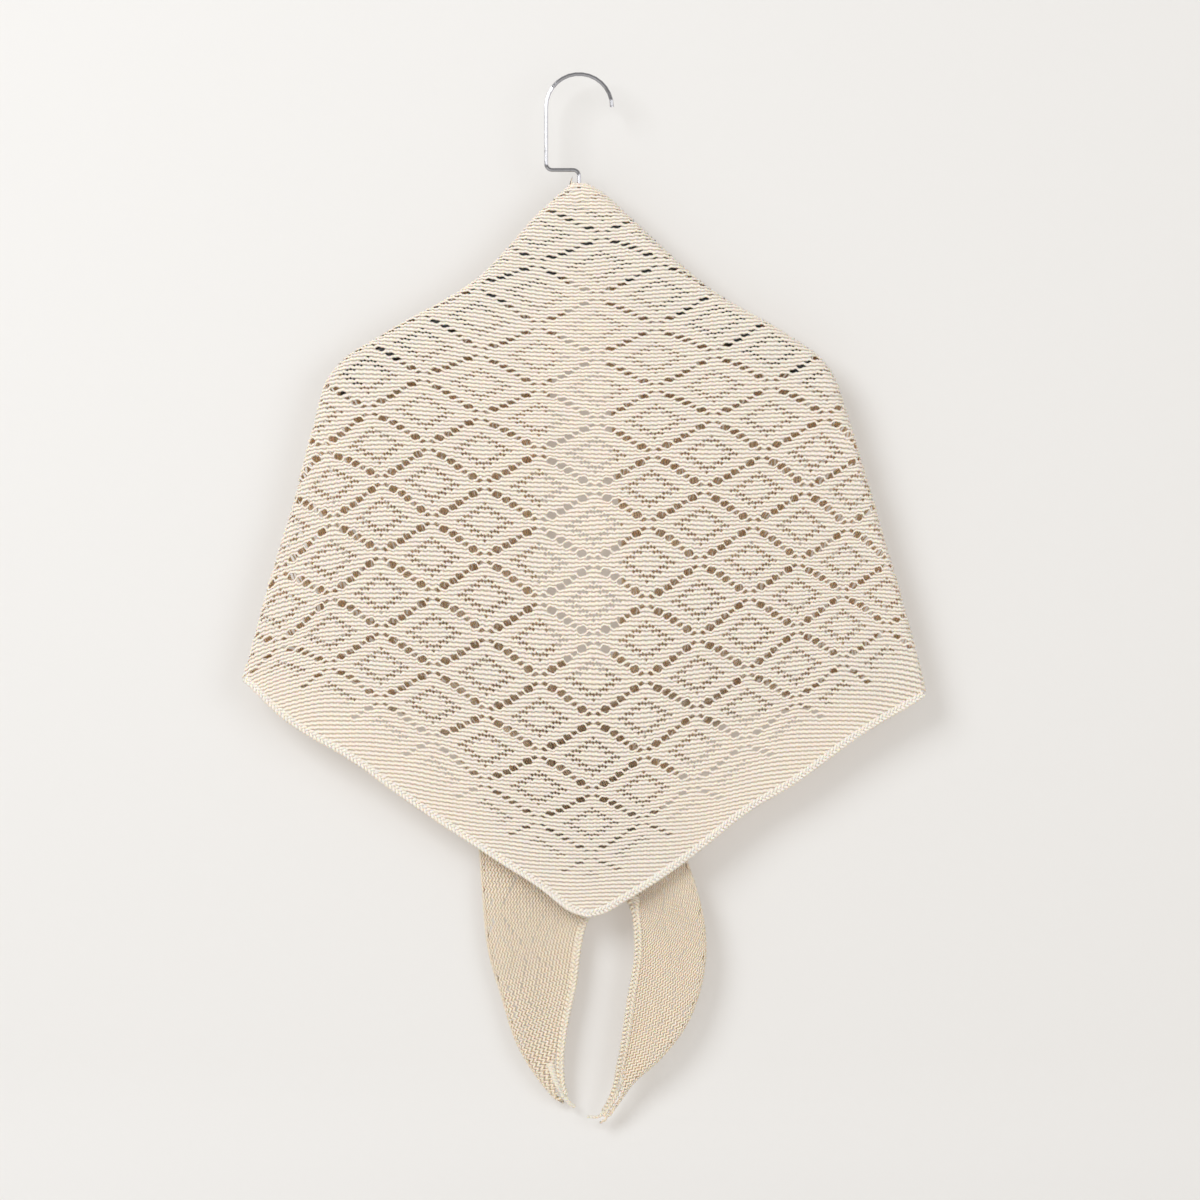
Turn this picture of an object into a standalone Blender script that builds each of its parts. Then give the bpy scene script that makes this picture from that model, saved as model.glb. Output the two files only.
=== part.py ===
"""Triangle shawl of knitted diamond lace, hung over a flat clothes hanger with a wire hook.

Metres, +Z up, +X to the viewer's right, the front of the shawl towards -Y.
The origin is the inner underside of the hook's crown.
Lengths below are in millimetres and are scaled by MM where a mesh is made.
"""

import math

import bmesh
import bpy
import numpy as np
from mathutils import geometry

MM = 0.001

# Cloth
WALL = 2.0                  # knitted wall, ridge to ridge
SEAM_GAP = 0.3              # between two pieces that meet
CURVED_SEAM_GAP = 1.0       # the same where both edges curve in space
CREST_GAP = 1.2             # from the crest of a fold to each of the two walls that meet there
FOLD_RADIUS = 7.3           # middle of the cloth round the hanger's rounded edge
WING_PLAY = 1.2             # from the fold to the wing behind it, beyond FOLD_RADIUS
CORNER_RADIUS = 4.6         # the same at the two outer corners, where nothing fills the fold
LAYER_STEP = 7.0            # from one crossing wing to the other
EDGING_WIDTH = 6.5
EDGING_WALL = 3.0
EDGING_RAILS = (0.8, 3.6, 6.5)  # lines along the edging, from its outer edge inwards
CORNER_GAP = 6.0            # from an outer corner to the start of the edging
TIP_COLUMNS = 3.0           # columns left off at the tip of each tail's edging
TAIL_END_COLUMNS = 9.0      # columns at the tip where there is room for the edging alone
TIP_SHARE = 0.3             # at the tip the edging lies over this share of the column and beyond
TIP_SPREAD = 0.5            # share from its inner to its outer line there
HOOK_COLUMNS_FREE = 1.0     # columns left open beside the wire

# Knitting chart: columns count outwards from the middle, rows down from the long edge
LAST_ROW = 176.5            # rows at the middle, and columns in each half of the long edge
HOOK_COLUMN = -3.0          # the hook's wire leaves the cloth a little left of the middle
FLAT_STITCH = 4.95          # a stitch's width and a row's height with the cloth laid flat
FLAT_ROW = 2.4
REPEAT = 8                  # columns and rows from one crossing of the lattice to the next
BORDER = 9.0                # rows of plain knitting inside the short edges
HOLE_OFFSET = (1.83, 2.0)   # a large hole's columns and rows from its crossing
HOLE_COLUMNS = 1.30         # a large hole's width in stitches
HOLE_ROWS = 1.55            # a large hole's height in rows

# Hook and hanger
WIRE = 3.2
HOOK_RADIUS = 27.0          # middle of the wire round the crown
HOOK_FOOT = -77.0           # height of the level stretch of wire
HOOK_BEND = 5.0             # radius of the two bends below the crown
HOOK_TURN = 12.0            # degrees of bend from one point of the wire's middle to the next
NECK_TOP = -109.0           # top of the hanger, under the wire
HANGER_PLAY = 2.6           # from the folded cloth to the hanger's edge
NECK_HALF_WIDTH = 2.5       # flat part of the hanger's top, before its edge is rounded
HANGER_THICKNESS = 11.0
HANGER_ROUNDING = 5.2
SHOULDER_END = -244.0       # height where the hanger's top edge ends at each shoulder

# Where the shawl folds over the hanger and hangs on down to its outer corners
LEFT_FOLD = (
    # across, height
    (-6, -89), (-13, -95), (-35, -115), (-58, -141), (-84, -167), (-110, -184), (-140, -200),
    (-167, -216), (-194, -234), (-206, -249), (-212, -266), (-216, -282), (-225, -315),
    (-233, -348), (-243, -380), (-253, -413), (-262, -446), (-271, -479), (-276, -495),
)
RIGHT_FOLD = (
    # across, height
    (6, -89), (17, -95), (40, -115), (68, -141), (97, -167), (121, -184), (150, -200),
    (173, -214), (199, -233), (210, -249), (216, -266), (221, -282), (231, -315),
    (241, -348), (250, -380), (260, -413), (269, -446), (278, -479), (285, -509),
)

# The hanger's lower edge, from the left shoulder to the right one
HANGER_LOWER_EDGE = (
    # across, height
    (-190, -260), (-151, -235), (-106, -211), (-55, -184), (-14, -165), (9, -153),
    (40, -171), (82, -198), (122, -221), (167, -239), (195, -255),
)

# The front's lower edge, from the left corner over the point to the right corner
FRONT_HEM = (
    # across, height
    (-276, -495), (-243, -527), (-185, -563), (-141, -595), (-92, -628), (-40, -661), (9, -690),
    (44, -673), (92, -641), (139, -604), (180, -579), (230, -542), (285, -509),
)

# The long edge of each wing, from the hook down behind the front to the tip of its tail
LEFT_LONG_EDGE = (
    # across, height
    (-8, -96), (-8, -175), (-17, -225), (-24, -266), (-27, -307), (-34, -380), (-34, -430),
    (-19, -471), (9, -508), (58, -585), (91, -651), (102, -692), (104, -720), (100, -748),
    (88, -780), (68, -806), (44, -828), (30, -847), (18, -860), (6, -857),
)
RIGHT_LONG_EDGE = (
    # across, height
    (8, -96), (10, -175), (20, -225), (25, -266), (28, -307), (35, -380), (35, -430),
    (30, -471), (9, -508), (-40, -540), (-77, -573), (-84, -606), (-83, -633), (-80, -676),
    (-75, -721), (-64, -760), (-52, -797), (-33, -827), (-18, -842), (-3, -850),
)

# The edged side of each wing, from the outer corner behind the front to the tip of its tail
LEFT_WING_HEM = (
    # across, height
    (-276, -495), (-229, -503), (-171, -517), (-122, -534), (-98, -563), (-65, -606), (-16, -649),
    (40, -680), (45, -713), (39, -757), (31, -809), (24, -838), (14, -852), (5, -853),
)
RIGHT_WING_HEM = (
    # across, height
    (285, -509), (230, -517), (173, -520), (120, -530), (91, -561), (58, -610), (34, -659),
    (9, -692), (-2, -749), (-10, -789), (-12, -812), (-9, -836), (-4, -846), (-2, -848),
)

# How the chart lies on the front: one entry of columns for each sixteenth row.
# height and middle place the middle column, stitch is the width of a stitch beside it,
# narrowing is the share that it has lost 48 columns out, rise lifts the row 24 and 48 columns out.
FRONT_ROWS = {
    "row": (0, 16, 32, 48, 64, 80, 96, 112, 128, 144, 160, 176.5),
    "height": (-88, -133, -182, -232, -283, -339, -399, -463, -527, -586, -638, -690),
    "middle": (17, 17, 15, 15, 15, 13, 12, 12, 12, 11, 10, 9),
    "stitch_left": (6.0, 6.0, 6.0, 6.0, 6.0, 5.7, 5.6, 5.5, 5.5, 5.5, 5.5, 5.5),
    "stitch_right": (6.0, 6.0, 6.0, 6.0, 6.0, 5.7, 5.5, 5.4, 5.3, 5.2, 5.2, 5.2),
    "narrowing_left": (.08, .08, .08, .08, .08, .10, .06, .03, .02, .02, .02, .02),
    "narrowing_right": (.08, .08, .08, .08, .10, .12, .10, .08, .05, .03, .03, .03),
    "rise_24_left": (8, 8, 9, 9, 7, 6, 5, 7, 11, 13, 12, 6),
    "rise_48_left": (-8, -8, -8, -8, -8, -7, -7, -3, 8, 14, 14, 6),
    "rise_24_right": (6, 6, 5, 4, 2, 0, 1, 6, 10, 12, 12, 6),
    "rise_48_right": (-8, -8, -8, -8, -6, -4, 0, 11, 14, 14, 14, 6),
}

# Small shapes of the drape, in millimetres
SWELL = 4.0                 # the front stands out this much below the neck
SWELL_HEIGHT = -205.0
SWELL_RISE = 45.0           # half of the swell's height, and of its breadth
SWELL_BREADTH = 110.0
SWAY = 2.0                  # side to side wave of the front near its point
WIRE_ROOM = 3.3             # the front keeps this far from the wire under the hook
SLACK = 2.4                 # soft level folds of the wings below the hanger
CURL = 2.5                  # the right wing's end bends this much across
EDGE_CURL = 5.0             # its long edge turns back by this much
EDGE_CURL_SHARE = 0.22      # over this share of its breadth
TROUGH = 6.0                # the left wing's end is hollow by this much
TROUGH_LEAN = 3.0

# Mesh spacing
FOLD_TURNS = (30, 60, 90)   # degrees round the fold where the mesh has a line
EDGE_SPACING = 15.0
EDGE_COLUMN_STEP = 2.8      # columns from one place to the next along a wing's short edge
FOLD_COLUMN_STEP = 1.6      # the same along its fold, where columns lie further apart
BASE_SPACING = 28.0
TAIL_FIRST_COLUMN = 112
TAIL_GAP_COLUMNS = 0.1      # from a wing's upper stretch to its tail
FRONT_HOLE_ROWS = (66, 144)
HOLE_CORNERS = 6
CORNER_REACH = 1.1          # a hole's corners stand out by this much, so that it keeps its height
FOLD_ROOM = 16.0            # least distance from a hole's middle to the fold, and to the short edge
HEM_ROOM = 14.0
SEAM_ROOM = 0.8             # columns that the first and last place keep from their neighbours
LEAST_SHARE = 0.25          # share of a short column that a panel keeps beside its edging
CLEAR_OF_HOLE = 7.0
HOLE_ROOM = 7.5             # least distance from a hole's middle to the edge of its piece
ROLL_ROWS = 4               # rows from the long edge to the mesh line where it starts to roll

# Colours from the photograph
CREAM = (0.78, 0.69, 0.55, 1)
TAIL_CREAM = (0.68, 0.57, 0.43, 1)
BLACK = (0.02, 0.02, 0.02, 1)
CHROME = (0.75, 0.75, 0.77, 1)


def steady_curve(knots, values, at):
    """Smooth curve through the values, read at any places."""
    knots = np.asarray(knots, float)
    values = np.asarray(values, float)
    steps = np.diff(knots)
    slopes = np.diff(values) / steps
    tangents = np.empty_like(values)
    tangents[0], tangents[-1] = slopes[0], slopes[-1]
    tangents[1:-1] = (slopes[:-1] * steps[1:] + slopes[1:] * steps[:-1]) / (steps[:-1] + steps[1:])
    at = np.clip(at, knots[0], knots[-1])
    spot = np.clip(np.searchsorted(knots, at, side="right") - 1, 0, len(steps) - 1)
    part = (at - knots[spot]) / steps[spot]
    rest = 1 - part
    return (
        values[spot] * rest ** 2 * (1 + 2 * part)
        + values[spot + 1] * part ** 2 * (3 - 2 * part)
        + steps[spot] * part * rest * (tangents[spot] * rest - tangents[spot + 1] * part)
    )


class Route:
    """Smooth curve through a short table of places, measured along its length."""

    def __init__(self, places):
        places = np.array(places, float)
        chords = np.hypot(*np.diff(places, axis=0).T)
        knots = np.concatenate(([0], np.cumsum(chords)))
        fine = np.linspace(0, knots[-1], 40 * len(places))
        self.fine = np.stack([steady_curve(knots, places[:, axis], fine) for axis in (0, 1)], 1)
        self.marks = np.concatenate(([0], np.cumsum(np.hypot(*np.diff(self.fine, axis=0).T))))
        self.length = self.marks[-1]

    def at(self, distance):
        return np.stack([np.interp(distance, self.marks, self.fine[:, axis]) for axis in (0, 1)], -1)

    def evenly(self, spacing, first=0.0, last=None):
        """Places at even steps between two distances along the curve."""
        last = self.length if last is None else last
        count = max(2, round((last - first) / spacing) + 1)
        return self.at(np.linspace(first, last, count))

    def nearest(self, places, coarse=4):
        """Closest place on the curve and the distance to it."""
        starts = self.fine[:-coarse:coarse]
        runs = self.fine[coarse::coarse] - starts
        away = places[:, None, :] - starts[None]
        part = np.clip((away * runs).sum(-1) / (runs ** 2).sum(-1), 0, 1)
        feet = starts + part[..., None] * runs
        gaps = np.hypot(*np.moveaxis(places[:, None, :] - feet, -1, 0))
        best = gaps.argmin(1)
        pick = np.arange(len(places))
        return feet[pick, best], gaps[pick, best]


def inset(places, distance):
    """Line beside a row of places, on their left for a positive distance."""
    ahead = np.gradient(places, axis=0)
    ahead /= np.hypot(ahead[:, 0], ahead[:, 1])[:, None]
    return places + distance * np.stack([-ahead[:, 1], ahead[:, 0]], 1)


FOLDS = {"left": Route(LEFT_FOLD), "right": Route(RIGHT_FOLD)}
WHOLE_FOLD = Route(tuple(reversed(LEFT_FOLD)) + RIGHT_FOLD)
LONG_EDGES = {"left": Route(LEFT_LONG_EDGE), "right": Route(RIGHT_LONG_EDGE)}
WING_HEMS = {"left": Route(LEFT_WING_HEM), "right": Route(RIGHT_WING_HEM)}
HEM = Route(FRONT_HEM)
SIDE_SIGN = {"left": -1, "right": 1}


def smooth_step(low, high, at):
    """0 at low and 1 at high, with a smooth change between; low may be the greater."""
    part = np.clip((at - low) / (high - low), 0, 1)
    return part * part * (3 - 2 * part)


def chart_on_front(column, row):
    """Flat place of a stitch on the front, before the folds are rounded."""
    column = np.asarray(column, float)
    row = np.asarray(row, float)

    def read(name):
        return steady_curve(FRONT_ROWS["row"], FRONT_ROWS[name], row)

    on_left = column < 0
    stitch = np.where(on_left, read("stitch_left"), read("stitch_right"))
    narrowing = np.where(on_left, read("narrowing_left"), read("narrowing_right"))
    near_rise = np.where(on_left, read("rise_24_left"), read("rise_24_right"))
    far_rise = np.where(on_left, read("rise_48_left"), read("rise_48_right"))
    reach = np.minimum(np.abs(column), 60) / 24
    fourth = (far_rise - 4 * near_rise) / 12
    across = read("middle") + column * stitch * (1 - narrowing * (reach / 2) ** 2)
    height = read("height") + (near_rise - fourth) * reach ** 2 + fourth * reach ** 4
    return np.stack([across, height], -1)


def fold_row(side, column):
    """Row at which a column of the front reaches its side fold."""
    fold = FOLDS[side].fine
    low, high = 0.0, LAST_ROW
    for _ in range(40):
        row = (low + high) / 2
        across, height = chart_on_front(SIDE_SIGN[side] * column, row)
        edge = np.interp(-height, -fold[:, 1], fold[:, 0])
        inside = (across - edge) * SIDE_SIGN[side] < 0 and height < fold[0, 1]
        low, high = (low, row) if inside else (row, high)
    return high


def corner_column(side):
    """Column that runs into the outer corner, where the fold meets the short edge."""
    low, high = 30.0, 70.0
    for _ in range(30):
        column = (low + high) / 2
        low, high = (column, high) if fold_row(side, column) < LAST_ROW - column else (low, column)
    return low


class Wing:
    """One end of the triangle, folded back over the hanger."""

    def __init__(self, side):
        self.side = side
        self.corner = corner_column(side)
        first = HOOK_COLUMN * SIDE_SIGN[side]
        self.columns = np.arange(first, LAST_ROW + 0.25, 0.5)
        inner = self.columns < self.corner
        fold_rows = np.array([fold_row(side, column) for column in self.columns[inner]])
        self.rows = np.concatenate((fold_rows, LAST_ROW - self.columns[~inner]))
        long_edge = LONG_EDGES[side]
        self.starts = long_edge.at((self.columns - first) / (LAST_ROW - first) * long_edge.length)
        fold_places = chart_on_front(SIDE_SIGN[side] * self.columns[inner], fold_rows)
        fold_places = FOLDS[side].nearest(fold_places)[0]
        hem = WING_HEMS[side]
        along = (self.columns[~inner] - self.corner) / (LAST_ROW - self.corner)
        self.ends = np.concatenate((fold_places, hem.at(along * hem.length)))

    def last_row(self, column):
        return np.interp(column, self.columns, self.rows)

    def flat(self, column, across):
        """Flat place at a share of the way from the long edge to the fold or the short edge."""
        ends = [
            np.interp(column, self.columns, self.ends[:, axis]) for axis in (0, 1)
        ]
        starts = [
            np.interp(column, self.columns, self.starts[:, axis]) for axis in (0, 1)
        ]
        return np.stack([s + (e - s) * across for s, e in zip(starts, ends)], -1)

    def edge_columns(self, first, last):
        """Columns where the panel and its edging both have a place on their seam."""
        between = np.arange(self.corner, LAST_ROW, EDGE_COLUMN_STEP)
        before = np.arange(self.corner - FOLD_COLUMN_STEP, -FOLD_COLUMN_STEP, -FOLD_COLUMN_STEP)[::-1]
        marks = np.concatenate((before, between))
        marks = marks[(marks > first + SEAM_ROOM) & (marks < last - SEAM_ROOM)]
        return np.concatenate(([first], marks, [last]))

    def share_left(self, column, distance):
        """Share across at which a line lies beside the short edge, at a distance from it."""
        reach = self.flat(column, 1.0) - self.flat(column, 0.0)
        tangent = self.flat(column + 0.5, 1.0) - self.flat(column - 0.5, 1.0)
        length = np.hypot(reach[..., 0], reach[..., 1])
        turned = np.abs(reach[..., 0] * tangent[..., 1] - reach[..., 1] * tangent[..., 0])
        lean = turned / length / np.hypot(tangent[..., 0], tangent[..., 1])
        return 1 - distance / length / np.maximum(lean, 0.3)


WINGS = {"left": Wing("left"), "right": Wing("right")}


def round_the_fold(flat, fold):
    """Turn the cloth over the hanger's edge: new flat places, and 0 at the crest to 1 past the turn."""
    radius = CORNER_RADIUS + (FOLD_RADIUS - CORNER_RADIUS) * smooth_step(-480, -250, flat[:, 1])
    foot, gap = fold.nearest(flat)
    inward = (flat - foot) / np.maximum(gap, 1e-6)[:, None]
    quarter = radius * math.pi / 2
    reach = 8 * radius
    turned = radius * (1 - np.cos(np.minimum(gap / radius, math.pi / 2)))
    turned += np.maximum(gap - quarter, 0) * (reach - radius) / (reach - quarter)
    turned = np.where(gap > reach, gap, turned)
    return foot + inward * turned[:, None], radius, np.sin(np.minimum(gap / radius, math.pi / 2)), gap


def front_in_space(flat):
    """The front: round the folds, swelling below the neck and leaning back to the point."""
    places, radius, turn, gap = round_the_fold(flat, WHOLE_FOLD)
    across, height = flat[:, 0], flat[:, 1]
    fade = smooth_step(10, 75, gap)
    swell = SWELL * np.exp(-((height - SWELL_HEIGHT) / SWELL_RISE) ** 2)
    swell *= np.exp(-(across / SWELL_BREADTH) ** 2)
    sway = SWAY * np.sin(across / 42 + 0.6) * smooth_step(-380, -640, height)
    depth = radius * turn + fade * (swell + sway)
    wire_room = WIRE_ROOM * (1 - smooth_step(2.5, 9.0, np.abs(across)))
    depth = np.maximum(depth, wire_room * smooth_step(-110, -92, height))
    return np.stack([places[:, 0], -depth, places[:, 1]], -1)


def wing_in_space(side, column, across):
    """A wing: round the fold, with soft slack folds, one wing crossing in front of the other."""
    wing = WINGS[side]
    flat = wing.flat(column, across)
    places, radius, turn, gap = round_the_fold(flat, FOLDS[side])
    height = flat[:, 1]
    over_hanger = smooth_step(12, 80, gap)
    slack = SLACK * (1 + np.sin(height / 17 + flat[:, 0] / 46)) * smooth_step(-255, -330, height)
    slack *= 1 - smooth_step(-560, -640, height)
    clearance = WING_PLAY * smooth_step(1, 9, gap)
    depth = radius * turn + clearance + over_hanger * slack
    low = smooth_step(-470, -600, height)
    if side == "right":
        behind = smooth_step(-135, -60, -flat[:, 0]) * smooth_step(400, 490, -height)
        depth = depth + behind * LAYER_STEP + low * CURL * np.sin(across * math.pi)
        depth = depth + low * EDGE_CURL * np.clip(1 - across / EDGE_CURL_SHARE, 0, 1) ** 2
    else:
        trough = smooth_step(-640, -720, height)
        depth = depth + trough * (TROUGH * np.sin(across * math.pi) - TROUGH_LEAN * (1 - across))
    return np.stack([places[:, 0], depth, places[:, 1]], -1)


def material(name, color, roughness, metallic=0.0):
    made = bpy.data.materials.new(name)
    made.use_nodes = True
    shader = made.node_tree.nodes["Principled BSDF"]
    shader.inputs["Base Color"].default_value = color
    shader.inputs["Roughness"].default_value = roughness
    shader.inputs["Metallic"].default_value = metallic
    return made


def keep(name, mesh, collection, finish):
    made = bpy.data.objects.new(name, mesh)
    made.data.materials.append(finish)
    collection.objects.link(made)
    return made


def shell(name, places, faces, wall, collection, finish):
    """Thicken an open sheet to a closed wall."""
    mesh = bpy.data.meshes.new(name)
    mesh.from_pydata([tuple(place * MM) for place in places], [], faces)
    sheet = bmesh.new()
    sheet.from_mesh(mesh)
    bmesh.ops.recalc_face_normals(sheet, faces=sheet.faces)
    sheet.to_mesh(mesh)
    sheet.free()
    made = keep(name, mesh, collection, finish)
    thicken = made.modifiers.new("Wall", "SOLIDIFY")
    thicken.thickness = wall * MM
    thicken.offset = 0
    thicken.use_even_offset = True


def anticlockwise(ring):
    """The same ring of places, with its inside on the left."""
    after = np.roll(ring, -1, axis=0)
    area = (ring[:, 0] * after[:, 1] - after[:, 0] * ring[:, 1]).sum()
    return ring if area > 0 else ring[::-1]


def triangulated(outline, inner, holes):
    """Triangles between an outline and its holes, over the given inner places."""
    places = []
    rings = []
    for ring in [outline] + list(holes):
        rings.append(list(range(len(places), len(places) + len(ring))))
        places += [tuple(place) for place in anticlockwise(ring)]
    places += [tuple(place) for place in inner]
    result = geometry.delaunay_2d_cdt(places, [], rings, 1, 1e-6, True)
    kept = [face for face, owners in zip(result[2], result[5]) if list(owners) == [0]]
    return np.array([tuple(place) for place in result[0]]), [tuple(face) for face in kept]


def crossings(first_row, last_row):
    """Columns and rows where two lines of holes cross."""
    steps = int(LAST_ROW // REPEAT) + 1
    for down in range(1, steps):
        for out in range(-steps, steps + 1):
            if (out + down) % 2 == 0 and first_row <= down * REPEAT <= last_row:
                yield out * REPEAT, down * REPEAT


def large_holes(first_row, last_row):
    """Centres of the four large holes round each crossing."""
    aside, along = HOLE_OFFSET
    for column, row in crossings(first_row, last_row):
        for side in (-1, 1):
            for way in (-1, 1):
                spot = (column + side * aside, row + way * along)
                if abs(spot[0]) + spot[1] < LAST_ROW - BORDER:
                    yield spot


def hole_corners(column, row, width, corners):
    """Corners of one hole in columns and rows."""
    turns = np.arange(corners) * 2 * math.pi / corners
    return column + width * np.cos(turns), row + HOLE_ROWS / 2 * np.sin(turns) * CORNER_REACH


def clear_of(places, others, room):
    """Whether each place keeps its distance from all the others."""
    if not len(others):
        return np.ones(len(places), bool)
    gaps = np.hypot(*np.moveaxis(places[:, None, :] - np.asarray(others)[None], -1, 0))
    return gaps.min(1) > room


def inside(places, outline):
    """Whether each place lies within a closed outline."""
    ends = np.roll(outline, -1, axis=0)
    above = outline[None, :, 1] > places[:, None, 1]
    above_next = ends[None, :, 1] > places[:, None, 1]
    rise = ends[:, 1] - outline[:, 1]
    rise = np.where(rise == 0, 1e-9, rise)
    cut = outline[:, 0] + (places[:, None, 1] - outline[:, 1]) / rise * (ends[:, 0] - outline[:, 0])
    return ((above != above_next) & (places[:, None, 0] < cut)).sum(1) % 2 == 1


def front_panel(collection, finish):
    """The lace stretch in front of the hanger, with the large holes cut through."""
    fold = WHOLE_FOLD.evenly(EDGE_SPACING)
    crest = inset(fold, -CREST_GAP)
    inner = EDGING_WIDTH + SEAM_GAP
    hem = np.concatenate([hem_line(side, inner, 0, CORNER_GAP) for side in ("left", "right")])
    hem = hem[inside(hem, fold_and_hem())]
    outline = np.concatenate((crest[inside(crest, fold_and_hem())], hem[::-1]))
    lines = []
    for turn in FOLD_TURNS:
        line = inset(WHOLE_FOLD.evenly(EDGE_SPACING), -math.radians(turn) * FOLD_RADIUS)
        lines.append(line[inside(line, outline)])
    holes = []
    for column, row in large_holes(*FRONT_HOLE_ROWS):
        columns, rows = hole_corners(column, row, HOLE_COLUMNS / 2, HOLE_CORNERS)
        corners = chart_on_front(columns, rows)
        middle = corners.mean(0)[None]
        room = WHOLE_FOLD.nearest(middle)[1][0]
        if room > FOLD_ROOM and inside(middle, outline)[0] and clear_of(middle, hem, HEM_ROOM)[0]:
            holes.append(corners)
    base = grid_within(outline)
    taken = np.concatenate([outline] + lines + holes)
    base = base[clear_of(base, taken, CLEAR_OF_HOLE)]
    flat, faces = triangulated(outline, np.concatenate(lines + [base]), holes)
    shell("front_panel", front_in_space(flat), faces, WALL, collection, finish)


def grid_within(outline):
    """Evenly spaced places inside an outline, to carry the wall between its lines."""
    lowest = outline.min(0)
    highest = outline.max(0)
    first = np.floor(lowest / BASE_SPACING) * BASE_SPACING
    across, along = np.meshgrid(
        np.arange(first[0], highest[0], BASE_SPACING),
        np.arange(first[1], highest[1], BASE_SPACING),
    )
    base = np.stack([across.ravel(), along.ravel()], 1)
    return base[inside(base, outline)]


def fold_and_hem():
    """The front's whole flat outline."""
    return np.concatenate((WHOLE_FOLD.evenly(EDGE_SPACING), HEM.evenly(EDGE_SPACING)[::-1]))


def hem_line(side, distance, gap, start):
    """Line inside one of the front's lower edges, mitred at the point."""
    point = HEM.fine[:, 1].argmin()
    middle = HEM.marks[point]
    first, last = (start, middle) if side == "left" else (middle, HEM.length - start)
    line = inset(HEM.evenly(EDGE_SPACING, first, last), distance)
    end, neighbour = (-1, -2) if side == "left" else (0, 1)
    along = line[end] - line[neighbour]
    mitre = HEM.fine[point, 0] + SIDE_SIGN[side] * gap
    line[end] += along * (mitre - line[end, 0]) / along[0]
    return line


def strip(name, rails, collection, finish):
    """Wall between neighbouring lines with the same number of places."""
    count = len(rails[0])
    faces = []
    for lane in range(len(rails) - 1):
        for spot in range(count - 1):
            corner = lane * count + spot
            faces.append((corner, corner + 1, corner + count + 1, corner + count))
    shell(name, np.concatenate(rails), faces, EDGING_WALL, collection, finish)


def edging_front(side, collection, finish):
    """Braided strip along one of the front's lower edges."""
    lines = [hem_line(side, distance, SEAM_GAP / 2, CORNER_GAP + 4) for distance in EDGING_RAILS]
    rails = [front_in_space(line) for line in lines]
    strip("edging_front_" + side, rails, collection, finish)


def edging_wing(side, collection, finish):
    """Braided strip along a wing's short edge, down to the tip of its tail."""
    wing = WINGS[side]
    columns = wing.edge_columns(wing.corner + EDGE_COLUMN_STEP, LAST_ROW - TIP_COLUMNS)
    rails = []
    for distance in EDGING_RAILS:
        least = TIP_SHARE + (1 - distance / EDGING_WIDTH) * TIP_SPREAD
        share = np.maximum(wing.share_left(columns, distance), least)
        rails.append(wing_in_space(side, columns, share))
    strip("edging_wing_" + side, rails, collection, finish)


def wing_holes(side, outline, spread):
    """The large holes of a tail, where they lie clear of its outline."""
    holes = []
    for column, row in large_holes(0, LAST_ROW):
        columns, rows = hole_corners(SIDE_SIGN[side] * column, row, HOLE_COLUMNS / 2, HOLE_CORNERS)
        corners = np.stack([columns, rows], 1) * spread
        middle = corners.mean(0)[None]
        if inside(middle, outline)[0] and clear_of(middle, outline, HOLE_ROOM)[0]:
            holes.append(corners)
    return holes


def wing_part(name, side, first, last, with_holes, collection, finish):
    """Stretch of a wing between two columns, drawn as the cloth lies flat."""
    wing = WINGS[side]
    spread = np.array([FLAT_STITCH, FLAT_ROW])
    columns = wing.edge_columns(first, last)

    def edge_share(column, extra):
        at_hem = column > wing.corner
        distance = np.where(at_hem, EDGING_WIDTH + CURVED_SEAM_GAP, CREST_GAP) + extra
        return np.maximum(wing.share_left(column, distance), LEAST_SHARE)

    def line(extra):
        return np.stack([columns, edge_share(columns, extra) * wing.last_row(columns)], 1)

    far_edge = line(0.0)
    long_edge = np.stack([columns, np.zeros_like(columns)], 1)
    ends = []
    for column in (last, first):
        top = edge_share(np.array(column), 0.0) * wing.last_row(column)
        count = max(1, round(top * FLAT_ROW / EDGE_SPACING))
        ends.append(np.stack([np.full(count - 1, column), np.linspace(0, top, count + 1)[1:-1]], 1))
    outline = np.concatenate((long_edge, ends[0], far_edge[::-1], ends[1][::-1])) * spread
    lines = [line(math.radians(turn) * FOLD_RADIUS)[1:-1] * spread for turn in FOLD_TURNS]
    lines.append((long_edge[1:-1] + (0, ROLL_ROWS)) * spread)
    lines = [one[inside(one, outline) & clear_of(one, outline, 2.0)] for one in lines]
    holes = wing_holes(side, outline, spread) if with_holes else []
    base = grid_within(outline)
    base = base[clear_of(base, np.concatenate([outline] + lines + holes), CLEAR_OF_HOLE)]
    flat, faces = triangulated(outline, np.concatenate(lines + [base]), holes)
    column, row = (flat / spread).T
    space = wing_in_space(side, column, row / wing.last_row(column))
    shell(name, space, faces, WALL, collection, finish)


def bend(centre, radius, first, last):
    """Places round part of a circle, in degrees."""
    count = max(2, round(abs(last - first) / HOOK_TURN) + 1)
    turns = np.radians(np.linspace(first, last, count))
    return [(centre[0] + radius * math.cos(turn), centre[1] + radius * math.sin(turn)) for turn in turns]


def curve(name, places, closed):
    """Row of places as a curve lying on the ground."""
    data = bpy.data.curves.new(name, "CURVE")
    spline = data.splines.new("POLY")
    spline.points.add(len(places) - 1)
    for point, (across, height) in zip(spline.points, places):
        point.co = (across * MM, height * MM, 0, 1)
    spline.use_cyclic_u = closed
    return data


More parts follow.
